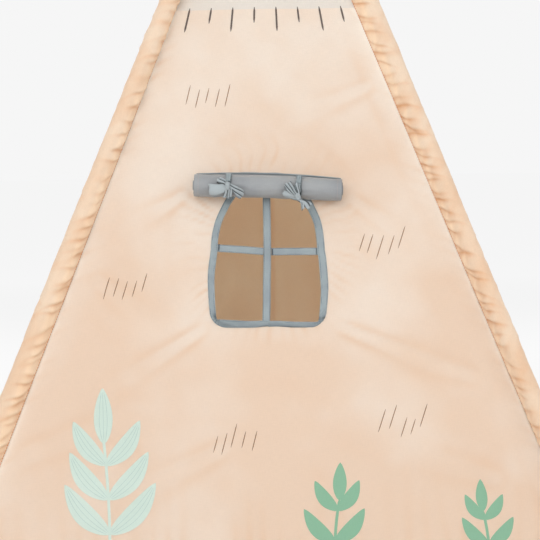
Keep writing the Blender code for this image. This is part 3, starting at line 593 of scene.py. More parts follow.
def panel(node_name, face, left, right, bottom, top, columns, hole=None):
    """A cloth between two edges, with the cap's colour above its line."""
    marks = {bottom, bottom + HEM_FOLD, top - TOP_FOLD, top} | ({V_CAP} if bottom < V_CAP < top else set())
    marks = sorted(marks)
    levels = [np.linspace(a, b, max(2, round((b - a) / MESH_PITCH) + 1))[:-1] for a, b in zip(marks, marks[1:])]
    v = np.concatenate(levels + [[top]])[:, None]
    l, r = left(v), right(v)
    u, v = np.broadcast_arrays(l + (r - l) * np.linspace(0, 1, columns + 1)[None, :], v)
    keep = None
    if hole is not None:
        keep = ~inside(hole, *((a[:-1, :-1] + a[1:, 1:]) / 2 for a in (u, v)))
    name = f"{node_name}_cloth"
    mesh = grid(name, on_face(face, u, v), stack(u, v), keep=keep)
    back = np.array(side_frame(SIDES[face.side]).inverted())
    x, y = (np.array([point.co for point in mesh.vertices]) @ back[:2, :3].T + back[:2, 3]).T
    # Painted shade in the cloth's hollows: how far each point lies below its neighbours.
    reach = 0.009
    about = sum(face.surface(x + a, y + b) for a, b in ((reach, 0), (-reach, 0), (0, reach), (0, -reach))) / 4
    mark(mesh, (about - face.surface(x, y)) / 0.0011)
    # The cloth's two thicknesses near the seam, and further out painted light against the shade that the sleeves
    # cast there.
    from_seam = half_width(y) - np.abs(x)
    mark(mesh, 0.75 * decay(from_seam, 0.006) + 0.25 * decay(from_seam, 0.024), "doubled")
    made = finish(name, mesh, face.body, CANVAS, "printed_canvas", [node_name], WALL)
    mesh.materials.append(CAP)
    middle = np.array([p.center for p in mesh.polygons]) @ back[1, :3] + back[1, 3]
    mesh.polygons.foreach_set("material_index", (middle > V_CAP).astype(np.int32))
    return made


# Prints

def leaf(base, tip, width, bend=0.0):
    """Rows of u and v that cover a leaf, and the lines of its veins."""
    way = tip - base
    side = np.array([-way[1], way[0]]) / np.linalg.norm(way)
    t = np.linspace(0, 1, 25)
    middle = base + t[:, None] * way + side * (bend * np.sin(math.pi * t))[:, None]
    swell = width / 2 * (np.sin(math.pi * t**0.85)) ** 0.75
    rows = middle[:, None] + side * (swell[:, None] * np.linspace(-1, 1, 7)[None, :])[..., None]
    return rows, [middle[1:-2] + side * (swell[1:-2] * x)[:, None] for x in (-0.42, 0.0, 0.42)]


def line(points, width):
    """Rows of u and v that cover a stroke."""
    points = np.asarray(points)
    at = along(points)
    t = np.linspace(0, at[-1], max(4, round(at[-1] / 0.006)))
    path = points_at(t, at, points)
    ahead = directions(path)
    side = np.stack([-ahead[:, 1], ahead[:, 0]], 1)
    taper = width / 2 * np.clip(np.minimum(t, at[-1] - t) / 0.004 + 0.3, 0, 1)
    return path[:, None] + side[:, None] * (taper[:, None] * np.array([-1, 0, 1])[None, :])[..., None]


def printed(name, patches, face, material, lift=0.00018):
    """One thin piece of print from patches of u and v, that follows the cloth."""
    points, faces, uvs, count = [], [], [], 0
    for patch in patches:
        n, m = patch.shape[:2]
        points.append(on_face(face, patch[..., 0], patch[..., 1], lift).reshape(-1, 3))
        r, c = cells(n - 1, m - 1)
        quad = np.stack([r * m + c, r * m + c + 1, (r + 1) * m + c + 1, (r + 1) * m + c], -1)
        across, ahead = patch[0, -1] - patch[0, 0], patch[n // 2, 0] - patch[0, 0]
        if across[0] * ahead[1] - across[1] * ahead[0] < 0:
            quad = quad[:, ::-1]
        faces.append(quad + count)
        uvs.append(patch.reshape(-1, 2)[quad])
        count += n * m
    mesh = mesh_of(name, *(np.concatenate(parts) for parts in (points, faces, uvs)))
    return finish(name, mesh, face.body, material, "printed_canvas")


def sprig(x, y, height, leaf_length, leaf_width, pairs, lean):
    """A stem with pairs of leaves and one at its tip: the leaves and the stem, and the veins."""
    def spot(across, up):
        return np.array([x, y]) + np.array([lean * across, height * up])

    made = []
    for k in range(pairs):
        t = 0.22 + 0.56 * k / max(1, pairs - 1)
        foot = spot(t * t, t)
        size = leaf_length * (1 - 0.28 * t)
        for way in (-1, 1):
            angle = math.radians(90 - way * (44 - 10 * t))
            tip = foot + size * np.array([math.cos(angle), math.sin(angle)])
            made.append(leaf(foot, tip, leaf_width * (1 - 0.2 * t), -way * 0.08 * size))
    top = spot(0.92, 0.96)
    made.append(leaf(top, top + np.array([lean * 0.3, leaf_length * 0.8]), leaf_width * 0.85))
    stem = line([spot(t**2, t) for t in np.linspace(0, 1, 12)], 0.0045)
    return [rows for rows, veins in made] + [stem], [vein for rows, veins in made for vein in veins]


def dashes(x, y, seed, count=5):
    """A loose row of slanted strokes."""
    random = np.random.default_rng(seed)
    made = []
    slant = random.uniform(0.22, 0.36)
    for k in range(count):
        u = x + (k - count / 2) * 0.0165 + random.uniform(-0.002, 0.002)
        v = y + random.uniform(-0.01, 0.01)
        length = random.uniform(0.013, 0.021)
        made.append(line([(u - length * slant, v - length), (u + length * slant, v + length)], 0.0016))
    return made


def cap_strokes():
    """A row of short strokes below the cap's line."""
    reach, high, made = half_width(V_CAP) - 0.026, V_CAP + 0.004, []
    for k, x in enumerate(np.linspace(-reach, reach, 8)):
        length = 0.03 if k % 2 else 0.046
        made.append(line([(x, high), (x + x * 0.16 * length / 0.1, high - length)], 0.0032))
    return made


# Each sprig: u, v, height, a leaf's length and width, the pairs of leaves and the lean.
# Each row of dashes: u, v and a seed.
LAYOUT = {
    "front": dict(mint=[(-0.262, 0.04, 0.2, 0.118, 0.036, 3, -0.012)],
                  green=[(0.098, 0.045, 0.092, 0.078, 0.026, 2, 0.01),
                         (0.345, 0.04, 0.075, 0.066, 0.022, 2, -0.008)],
                  brown=[(-0.092, 0.835, 3), (0.196, 0.57, 5), (-0.232, 0.5, 8), (0.222, 0.262, 9),
                         (-0.052, 0.235, 12)]),
    "left": dict(mint=[(0.21, 0.04, 0.18, 0.108, 0.034, 3, 0.01)],
                 green=[(-0.205, 0.042, 0.11, 0.088, 0.028, 2, -0.01)],
                 brown=[(0.05, 0.78, 21), (-0.15, 0.56, 22), (0.15, 0.42, 25), (-0.02, 0.25, 27)]),
    "right": dict(mint=[(-0.12, 0.04, 0.19, 0.112, 0.034, 3, 0.012)],
                  green=[(0.25, 0.042, 0.105, 0.084, 0.027, 2, 0.008)],
                  brown=[(-0.06, 0.8, 31), (0.14, 0.62, 33), (-0.19, 0.47, 34), (0.06, 0.3, 36)]),
    "door_left": dict(green=[(0.3, 0.04, 0.11, 0.088, 0.028, 2, -0.01)],
                      brown=[(0.15, 0.56, 41), (0.19, 0.33, 43)]),
    "door_right": dict(mint=[(-0.28, 0.04, 0.17, 0.104, 0.032, 3, 0.012)],
                       brown=[(-0.13, 0.62, 45), (-0.23, 0.4, 46)]),
}


def prints(key, face):
    """The printed pieces of a side or flap, by name."""
    layout, made = LAYOUT.get(key, {}), []
    for colour, material in (("mint", MINT), ("green", GREEN)):
        leaves, veins = [], []
        for row in layout.get(colour, []):
            found = sprig(*row)
            leaves, veins = leaves + found[0], veins + found[1]
        if leaves:
            made.append(printed(f"print_{colour}_{key}", leaves, face, material))
        if leaves and colour == "mint":
            made.append(printed(f"print_veins_{key}", [line(v, 0.0008) for v in veins], face, VEIN, 0.0003))
    if layout:
        strokes = [stroke for row in layout["brown"] for stroke in dashes(*row)]
        made.append(printed(f"print_dashes_{key}", strokes, face, BROWN))
    if key in SIDES:
        made.append(printed(f"print_strokes_{key}", cap_strokes(), face, DARK))
    return sorted(made, key=lambda piece: piece.name)


# Sides

def gather(pieces, axis, anchor):
    """Each piece of a side gets a mesh of its own."""
    for piece in pieces:
        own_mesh(piece)


def gather_side(pieces, side):
    gather(pieces, ray(SIDES[side] + 90), ray(SIDES[side]) * 0.3)


def hem_paths(face, left, right, inset, levels):
    return [on_face(face, np.linspace(left(v) + inset, right(v) - inset, 140), v, 0.0002) for v in levels]


def build_side(side, node_name):
    face = Face(side, f"side_{side}", lambda u, v: relief(side, u, v))
    low, columns = (DOOR_HEAD, 90) if side == "back" else (V_HEM, 190)
    edges = (lambda v: -half_width(v)), half_width
    hole = tilted(window_outline(TAPE * 0.6)) if side == "front" else None
    cover = panel(node_name, face, *edges, low, V_TOP, columns, hole)
    v = np.linspace(low + 0.003, V_TOP - 0.003, 160)
    seams = [on_face(face, way * (half_width(v) - 0.0008), v, 0.0009) for way in (-1, 1)]
    pieces = [stitches(f"{node_name}_seams", seams, face.body, "seam"),
              stitches(f"{node_name}_hems", hem_paths(face, *edges, 0.006, [low + 0.015, V_TOP - 0.009]),
                       face.body, "hem")] + prints(side, face)
    if side == "front":
        pieces += binding() + straps()
    gather_side([cover] + pieces, side)
    width, height = 2 * half_width(low), V_TOP - low
    area = (width / 2 + half_width(V_TOP)) * height - (WINDOW_AREA if side == "front" else 0)


# Sleeves

def sleeve(corner, degrees):
    """A puckered tube of cloth from the seam round the pole. It gives its points and their normals."""
    pole, up, name = pole_frame(degrees), seam_up(degrees), f"sleeve_{corner}"
    across = ray(degrees + 90)
    basis = np.array([across.cross(up), across, up])
    way = basis @ np.array(pole.col[2].to_3d())
    tips = [np.array([-0.0009, s * 0.001]) for s in (-1, 1)]
    t = np.linspace(0, 1, 9, endpoint=False)[:, None]
    levels = np.linspace(SLEEVE_LOW, TOP, 640)
    points = []
    for z in levels:
        seam = ray(degrees) * (HALF * math.sqrt(2) * (1 - z / MEET)) + UP * z
        start = basis @ np.array(pole.translation - seam)
        middle = (start - way * (start[2] / way[2]))[:2]
        turns = []
        for tip, s in zip(tips, (-1, 1)):
            reach = tip - middle
            swing = math.acos(SLEEVE_R / np.linalg.norm(reach))
            turns.append(math.atan2(reach[1], reach[0]) % math.tau - s * swing)
        a = np.linspace(turns[1], turns[0] - math.tau, 25)
        curve = middle + SLEEVE_R * stack(np.cos(a), np.sin(a))
        ring = np.concatenate([tips[1] + (curve[0] - tips[1]) * t, curve,
                               (curve[-1] + (tips[0] - curve[-1]) * t)[1:], tips[0][None]])
        points.append(np.array(seam) + ring @ basis[:2])
    points = np.array(points)
    span = np.linalg.norm(np.diff(points, axis=1), axis=2)
    s = np.concatenate([np.zeros((len(levels), 1)), np.cumsum(span, axis=1)], axis=1)
    length = (levels - levels[0])[:, None] / math.cos(TILT)
    total, end = s[:, -1:], length.max()
    normal = unit(np.cross(np.gradient(points, axis=1), np.gradient(points, axis=0)))
    normal = normal * np.sign(np.sum((points - points.mean(axis=1, keepdims=True)) * normal))
    random = np.random.default_rng(100 + degrees)
    lift, depth = np.zeros_like(s), np.zeros_like(s)
    for from_seam in (s, total - s):
        at = random.uniform(0.0, 0.02)
        while at < end + 0.06:
            size = random.uniform(0.45, 1.0)
            slant = -random.uniform(0.45, 1.0)
            off = length - at - slant * from_seam - 0.0016 * np.sin(from_seam * 130 + at * 90)
            width = random.uniform(0.0034, 0.0068)
            ridge = np.where(off > 0, decay(np.abs(off), 2.4 * width), bell(off, 0.6 * width))
            ridge = ridge - 0.5 * bell(off + 1.7 * width, 1.1 * width)
            reach = random.uniform(0.038, 0.066)
            size_here = size * step(1.7 * (1 - from_seam / reach))
            lift += 0.0036 * ridge * size_here * step(from_seam / 0.015) * step((0.05 - from_seam) / 0.02)
            # Painted shade below each crease's ridge, stronger near the seam.
            below = np.where(off > -width, bell(off + width, 0.5 * width), decay(-(off + width), 1.1 * width))
            depth += (0.72 + 0.5 * decay(from_seam, 0.008)) * size_here * below
            at += random.uniform(0.012, 0.028)
    off_seam = step(np.minimum(s, total - s) / 0.014)
    lift += 0.0007 * (1 + noise(s / 0.02, length / 0.03, 200 + degrees)) * off_seam
    lift += 0.0005 * noise(s / 0.006, length / 0.01 + s / 0.01, 300 + degrees) * off_seam
    # The painted shade varies a little at random.
    depth += 0.2 * noise(s / 0.018, length / 0.014 + s / 0.02, 400 + degrees)
    ends = step(length / 0.004) * step((end - length) / 0.004)
    points = points + normal * (lift * (0.35 + 0.65 * ends))[..., None]
    mesh = grid(name, points, stack(s, length))
    # The fold attribute carries the painted shade of the creases.
    mark(mesh, depth)
    made = finish(f"{name}_cloth", mesh, f"pole_{corner}", SHADED_SLEEVE_CLOTH, "printed_canvas", [name], 0.0008)
    hems = [(points + normal * 0.0003)[k] for k in (6, -7)]
    stitches(f"{name}_hems", hems, f"pole_{corner}", "hem")
    return points, normal


# Window

def rounded(count, half_width, half_depth, power):
    """The outline of a flat, soft-edged tape: across and out, and the length round it."""
    t = np.linspace(0, math.tau, count, endpoint=False)
    x, y = (half * np.sign(a) * np.abs(a) ** power
            for half, a in ((half_width, np.cos(t)), (half_depth, np.sin(t))))
    return x, y, np.r_[0, np.cumsum(np.hypot(np.diff(x), np.diff(y)))]


def binding():
    """Tape folded over the edge of the opening, a little puckered, with its stitches."""
    name, body = "window_binding", "side_front"
    outer, inner = (tilted(np.concatenate([o, o[:1]])) for o in (window_outline(), window_outline(TAPE)))
    run = along(outer)
    at = np.linspace(0, run[-1], round(run[-1] / 0.0016) + 1)[:-1]
    loop, inner = (points_at(at, run, o) for o in (outer, inner))
    inward = (inner - loop) / TAPE
    across, out, ring = rounded(26, TAPE / 2, 0.0019, 0.4)
    low = decay(np.clip(loop[:, 1] - WIN_LOW - 0.004, 0, None), 0.004)
    swing = 0.0007 * noise(at / 0.03, 0, 71) + 0.0022 * (low * bell(loop[:, 0] - 0.005, 0.026))
    corner = np.exp(-((np.abs(loop[:, 0]) - 0.091) ** 2 + (loop[:, 1] - 0.437) ** 2) / 0.017**2)
    widen = 1.135 + 0.085 * np.clip(loop[:, 0] / 0.09, -1, 1)
    below = np.interp(loop[:, 0], (-0.095, -0.075, -0.04, 0, 0.04, 0.075),
                      (1.15, 1.34, 1.14, 0.93, 0.9, 0.86))
    widen = widen + (below - widen) * low
    at_row, low, corner, wide = (a[:, None] for a in (at, low, corner, widen))
    waves = np.sin(at_row / 0.0011 + across / 0.0025)
    twist = noise(at_row / 0.019 + across / 0.012, across / 0.006, 77)
    puff = 1 + 0.45 * noise(at_row / 0.0075 + across / 0.006, across / 0.004, 73)
    puff = np.clip(puff + 0.7 * corner * waves + 0.55 * low * twist, 0.84, None)
    x = (TAPE / 2 + across) * wide + swing[:, None]
    u, v = (loop[:, None, k] + inward[:, None, k] * x for k in (0, 1))
    groove = bell(x - TAPE * wide + 0.0024, 0.0007) * 0.0005 * (out > 0)
    crown = 0.0003 * np.cos(across / TAPE * math.pi) * np.sign(out)
    points = on_front(u, v, -0.0008 + out * puff + crown - groove)
    points = np.concatenate([points, points[:1]])
    uv = stack(np.r_[ring, 2 * TAPE + 0.006], np.r_[at, run[-1]][:, None])
    mesh = grid(f"{name}_tape", points, uv, wrap=True)
    # Painted shade: darker along the lower run of the tape, in the folds at its corners and at two spots in its
    # lower corners, and a little at random.
    outer_part, inner_part = step(0.55 - across / TAPE), step(0.35 + across / TAPE)
    depth = low * (0.04 + (0.16 + 0.34 * np.clip(0.3 + twist, 0, 1)) * outer_part)
    depth = depth + corner * 0.9 * np.clip(-0.1 - waves, 0, 1) * (0.35 + 0.65 * inner_part)
    for at_u, at_v, spot_wide, spot_high in ((-0.0905, 0.445, 0.0022, 0.005), (0.09, 0.4375, 0.003, 0.0045)):
        depth = depth + bell(u - at_u, spot_wide) * bell(v - at_v, spot_high) * (0.75 + 0.35 * waves)
    depth = depth + 0.1 * np.clip(noise(at_row / 0.012, across / 0.003, 79), 0, 1)
    mark(mesh, np.concatenate([depth, depth[:1]]))
    made = finish(f"{name}_tape", mesh, body, GREY_TAPE, "grey_tape", [name])
    rows = []
    for inset, lift in ((TAPE * wide - 0.0022, 0.0008), (0.0016, 0.0012)):
        path = loop + inward * (inset + swing[:, None])
        rows.append(on_front(*np.concatenate([path, path[:1]]).T, lift))
    folds = []
    for way, off in ((-1, 0.0), (1, 0.0028)):
        mitre = tilted([(way * (0.0854 - off), 0.4371), (way * (0.0886 - off), 0.4338)])
        folds += [on_front(*mitre.T, 0.0013), on_front(*(mitre + (way * 0.0015, 0.0035)).T, 0.0012)]
    return [made, stitches(f"{name}_stitches", rows, body, "tape"),
            stitches(f"{name}_mitres", folds, body, "tack")]


def strap(which, start, end, seed, bulge=0.0, tacked=((0.001, 0.0021), (0.0063, 0.0074))):
    """A cross tape of two folded halves, with rows of stitches and dark tacks at so far from its ends."""
    node_name, body = f"window_strap_{which}", "side_front"
    name = f"{node_name}_tape"
    start, end = tilted([start, end])
    way = unit(end - start)
    side = np.array([-way[1], way[0]])
    t = np.linspace(0, 1, max(20, round(np.linalg.norm(end - start) / 0.003)))[:, None]
    arch = np.sin(math.pi * t)
    length = t * np.linalg.norm(end - start)
    middle = start + (end - start) * t + side * (0.0004 * noise(length / 0.035, 0, seed) - bulge * arch)
    across, out, ring = rounded(24, STRAP_HALF, 0.0007, 0.35)
    edge = np.abs(across) / STRAP_HALF
    shape = out + 0.00035 * bell(edge - 0.82, 0.16) * np.sign(out) - 0.0003 * bell(edge, 0.1) * (out > 0)
    lift = 0.0005 * noise(length / 0.02, across / 0.008 + 3, seed + 1) * arch
    u, v = (middle[:, None, k] + side[k] * across for k in (0, 1))
    points = on_front(u, v, -0.00075 + shape + lift)
    made = closed(name, points, stack(np.r_[ring, 0.027], length), body, GREY_TAPE, "grey_tape", [node_name])
    # Painted shade in the tape's fold line, unevenly along it, and along both its edges.
    patchy_shade = 0.6 + 0.4 * noise(length / 0.02, 0, seed + 2)
    groove = 0.3 * patchy_shade * bell(across - 0.0014, 0.001) + 0.24 * bell(np.abs(across) - 0.0062, 0.0006)
    mark(made.data, np.concatenate([groove[:1], groove, groove[-1:]]))
    rows = [on_front(*(middle + side * x).T, 0.0002) for x in (-0.005, 0.005)]
    tacks = []
    for k, inward, offs in ((0, 1, tacked[0]), (-1, -1, tacked[1])):
        for off in offs:
            spots = middle[k] + way * (inward * off) + side * np.array([[-0.0058], [0], [0.0058]])
            tacks.append(on_front(*spots.T, 0.0003))
    return [made, stitches(f"{name}_stitches", rows, body, "tape"),
            stitches(f"{name}_tacks", tacks, body, "tack")]


def straps():
    low, high = WIN_LOW + TAPE - 0.001, WIN_TOP - TAPE + 0.001
    inner = WIN_HALF_SPRING - TAPE + 0.003
    return (strap("upright", (-0.0046, low - 0.003), (-0.0052, high), 81, 0.002)
            + strap("left", (-0.0093, 0.557), (-inner, 0.5635), 83, tacked=((), (0.004, 0.005, 0.006)))
            + strap("right", (0.0039, 0.557), (inner - 0.0035, 0.5572), 85,
                    tacked=((0.001, 0.0018, 0.0026), (0.0056, 0.0066))))


# Rolled flap and its ties

def roll_frame():
    middle = side_frame(270) @ Matrix.Translation((0, ROLL_V, ROLL_OUT))
    return middle @ Matrix.Rotation(-ROLL_DROOP, 4, "Z")


def roll_swell(x, angle, turn):
    """How the ties and the cloth's creases change the roll's radius."""
    out = 0.0006 * noise(x / 0.03, angle / 1.1 + turn * 0.3, 91)
    for tie in TIES:
        ruffle = np.sin(angle * 9 + 5 * noise(x / 0.02, angle, 93))
        out = out - 0.0023 * bell(x - tie, 0.01) + 0.0013 * decay(np.abs(x - tie), 0.03) * ruffle
    return out - 0.0006 * decay(ROLL_HALF - np.abs(x), 0.006)


def roll_points(x, angle, radius, turn=0.0):
    """Points round the roll, in its own frame."""
    r = radius + roll_swell(x, angle, turn) * np.clip(radius / ROLL_R, 0, 1)
    bow = 0.0016 * (1 - (x / ROLL_HALF) ** 2)
    return stack(x, r * np.sin(angle) + bow, r * np.cos(angle))


def roll():
    name = "window_flap"
    turns, per_turn = 5, 40
    k = np.arange(turns * per_turn + 1) / per_turn
    radius = ROLL_R - 0.0008 - 0.0034 * k
    share = np.linspace(-1, 1, 111)
    reach = ROLL_HALF - 0.0012 + 0.0016 * np.sin(k * 2.3) * (k > 0.8) + 0.0002 * k
    x = share * reach[:, None]
    points = roll_points(x, (math.pi + math.tau * k)[:, None], radius[:, None], k[:, None])
    top = 0.0325 - 0.0048 * share**2 + 0.0006 * noise(share * 9, 0, 95)
    tail = []
    for t in np.linspace(0, 1, 9)[:-1]:
        z = -0.0222 + (0.0222 - radius[0] - roll_swell(x[0], math.pi, 0)) * step(t * 1.4)
        tail.append(stack(x[0] * (1 - 0.01 * (1 - t)), top * (1 - t) + 0.0016 * (1 - share**2), z))
    points = np.concatenate([np.array(tail), points])
    length = along(points[:, 55])
    mesh = grid(f"{name}_cloth", place(roll_frame(), points), stack(share * ROLL_HALF, length[:, None]))
    made = finish(f"{name}_cloth", mesh, name, LINING, "grey_lining", [name], 0.0012, 0.0)
    around, hem_at = math.pi + np.linspace(0.25, math.tau * 0.98, 60), ROLL_HALF - 0.0085
    hems = [place(roll_frame(), roll_points(x, around, ROLL_R + 0.0001)) for x in (-hem_at, hem_at)]
    lip = np.linspace(-1, 1, 70)
    edge = place(roll_frame(), stack(lip * (ROLL_HALF - 0.003), 0.032 - 0.0048 * lip**2, -0.0205))
    return [made, stitches(f"{name}_hems", hems, name, "lining"),
            cord(f"{name}_piping", edge, 0.0011, 8, name, GREY_TAPE, "grey_tape")]


def bow(which, centre, drop, knotted, loops, tails):
    """A tie: a band round the roll, a knot, loops that open from it and crumpled tails.

    knotted is the knot's half length, its radius and its turn. A loop or tail has its direction in degrees
    from +X, length, width at the knot and at the end, how far it stands off, and the number and depth of
    the folds along it.
    """
    name, body, place_at = f"{which}_bow", "window_flap", roll_frame()
    angle = np.linspace(0, math.tau, 61)
    path = roll_points(centre + 0.0012 * np.sin(angle * 2), angle, ROLL_R + 0.0011)

    def crumple(s, x):
        return 0.0006 * np.sin(x * 19 + 2 * np.sin(s * 120)) + 0.0004 * noise(s / 0.008, x * 4, 109)

    made = [tape(f"{name}_band", place(place_at, path), place_at.col[0].to_3d(),
                 0.0092 + 0.0045 * bell(angle - 5.6, 0.5), body, f"window_tie_{which}", crumple, 15)]
    # Painted shadow along one edge of the band, and darker patches at random.
    shaded = 0.75 * bell(np.linspace(-0.5, 0.5, 15) - 0.44, 0.09)
    blotches = noise(angle[:, None] * 2.2, np.linspace(-2, 2, 15), 113)
    mark(made[0].data, shaded + 0.25 * np.clip(blotches, 0, 1))
    at = place_at @ Matrix.Translation((centre, 0, 0))

    def lay(points, spin=0.0):
        """Points beside the knot, laid over the roll's round front."""
        c, s = math.cos(spin), math.sin(spin)
        x, y = points[..., 0] * c - points[..., 1] * s, points[..., 0] * s + points[..., 1] * c - drop
        fall = np.sqrt(np.clip(ROLL_R**2 - 0.72 * y**2, 0.00006, None))
        return place(at, stack(x, y, points[..., 2] + fall + 0.0004))

    half, radius, spin = knotted
    turn = np.linspace(0, math.tau, 33)[:-1, None]
    across = np.linspace(-1, 1, 13)
    pleat = 1 + 0.14 * np.sin(across * 9 + turn * 1.5) + 0.08 * np.sin(turn * 5 + 1)
    bulge = (1 - 0.35 * across**2) * pleat
    knot = lay(stack(half * across * (1 + 0.12 * np.cos(turn)), radius * np.cos(turn) * bulge,
                     0.0032 + 0.0042 * np.sin(turn) * bulge), spin).transpose(1, 0, 2)
    uv = stack(np.linspace(0, 0.04, 33), np.linspace(0, 0.012, 13)[:, None])
    made.append(closed(f"{name}_knot", knot, uv, body, GREY_TIE_LIT, "grey_tape"))
    x = np.linspace(-0.5, 0.5, 25)[None, :]
    for k, (degrees, length, start, end, stand, folds, depth) in enumerate(loops + tails):
        looped = k < len(loops)
        t = np.linspace(0, 1, 49 if looped else 33)[:, None]
        if looped:
            out = np.sin(t * math.pi) ** 0.8
            gap = stand * np.sin(t * math.tau) * np.sin(t * math.pi) ** 0.6
            rise = 0.0022 + stand * 0.8 * np.sin(t * math.pi) - gap
        else:
            out, rise = t, 0.0016 + stand * np.sin(t * 2.6)
        reach, flip = length * out, np.sign(math.cos(k))
        fold = depth * np.sin(x * folds * math.tau + k * 2 + 1.3 * np.sin(out * 4 + k)) * (1.15 - 0.55 * out)
        # Painted shade down in the folds' valleys.
        fold_shade = np.clip(-2.3 * fold * flip / depth - 0.4, 0, 1) * (1 - 0.1 * out)
        fold = fold + 0.0007 * noise(reach / 0.007 + k * 3, x * 3.5 + t * 2, 110 + k)
        ragged = 0.0011 * np.sin(x * 7 + k) * out
        bend = 0.0022 * np.sin(out * 3.2 + k * 1.7)
        wide = start + (end - start) * step(out * 1.15)
        points = lay(stack(reach + ragged, x * wide + bend, rise + fold * flip), math.radians(degrees))
        piece = f"{name}_{'loop' if looped else 'tail'}{k}"
        mesh = grid(piece, points, stack(x * max(start, end), t * length * (2 if looped else 1)))
        # Painted shade along one edge of each loop or tail and near the knot, added to that in its folds.
        edge_shade = 0.55 * bell(x * np.sign(math.cos(math.radians(degrees))) + 0.5, 0.035)
        mark(mesh, fold_shade * (depth > 0.0009) + edge_shade + 0.3 * decay(out, 0.16))
        made.append(finish(piece, mesh, body, GREY_TIE_LIT, "grey_tape", wall=0.0007, offset=0.0))
    return made


# Door

def door_flap(which, left, right):
    name, corner = f"door_flap_{which}", f"back_{which}"
    face = Face("back", name, lambda u, v: flap_relief(which, u, v))
    head = DOOR_HEAD - 0.0004
    cover = panel(name, face, left, right, V_HEM, head, 110)
    v = np.linspace(V_HEM + 0.002, head - 0.002, 150)
    sign, edge = (1, LEFT_EDGE) if which == "left" else (-1, RIGHT_EDGE)
    seam = on_face(face, sign * (half_width(v) - 0.0032), v, 0.0002)
    edges = [on_face(face, np.full(150, edge + sign * off), v, 0.0002) for off in (0.0025, 0.015)]
    pieces = [stitches(f"{name}_seam", [seam], name, "flap_seam"),
              stitches(f"{name}_hems", hem_paths(face, left, right, 0.004, [V_HEM + 0.015]), name, "hem"),
              stitches(f"{name}_stitches", edges, name, "hem")] + prints(f"door_{which}", face)
    outward = ray(90) * COS + UP * SIN
    gather([cover] + pieces, seam_up(CORNERS[corner]).cross(outward),
           ray(CORNERS[corner]) * (HALF * math.sqrt(2)))
    width, height = half_width(V_HEM), head - V_HEM


def door_tie(which, points, normal):
    """A tape loop sewn on the back of a rear sleeve, for tying the open flap."""
    name, body = f"door_tie_{which}", f"pole_back_{which}"
    pick = np.abs(np.linspace(SLEEVE_LOW, TOP, len(points)) - 0.56) < 0.0572
    columns = slice(3, 8) if which == "left" else slice(-8, -3)
    normal = normal[pick][:, columns]
    strip = points[pick][:, columns] + normal * 0.0026
    length = along(strip[:, 2])
    arch = 0.003 * np.sin(np.clip((length - 0.012) / (length[-1] - 0.024), 0, 1) * math.pi)
    strip = strip + normal * arch[:, None, None]
    middle, across = strip[:, 2], strip[:, 3] - strip[:, 1]
    tape(f"{name}_tape", middle, across, 0.014, body, name, lambda s, x: 0.0004 * noise(s / 0.015, x * 2, 151))
    tacks = [middle[k] + unit(across[k]) * np.array([[-0.0055], [0], [0.0055]]) + normal[k, 2] * 0.0006
             for k in (2, 5, -3, -6)]
    stitches(f"{name}_tacks", tacks, body, "door_tack")


# Lashing

def bundle_reach(degrees, height):
    """How far the bundle of poles reaches towards a direction, both standing and folded."""
    out, reach = ray(degrees), []
    for tilt in (TILT, TILT - FOLD):
        for azimuth in CORNERS.values():
            pole_out = ray(azimuth - math.degrees(TURN))
            across = UP.cross(pole_out)
            middle = across * CROSS_R - pole_out * (height * math.tan(tilt))
            reach.append(middle.dot(out) + math.hypot(POLE_R / math.cos(tilt) * out.dot(pole_out),
                                                      POLE_R * out.dot(across)))
    return max(reach)


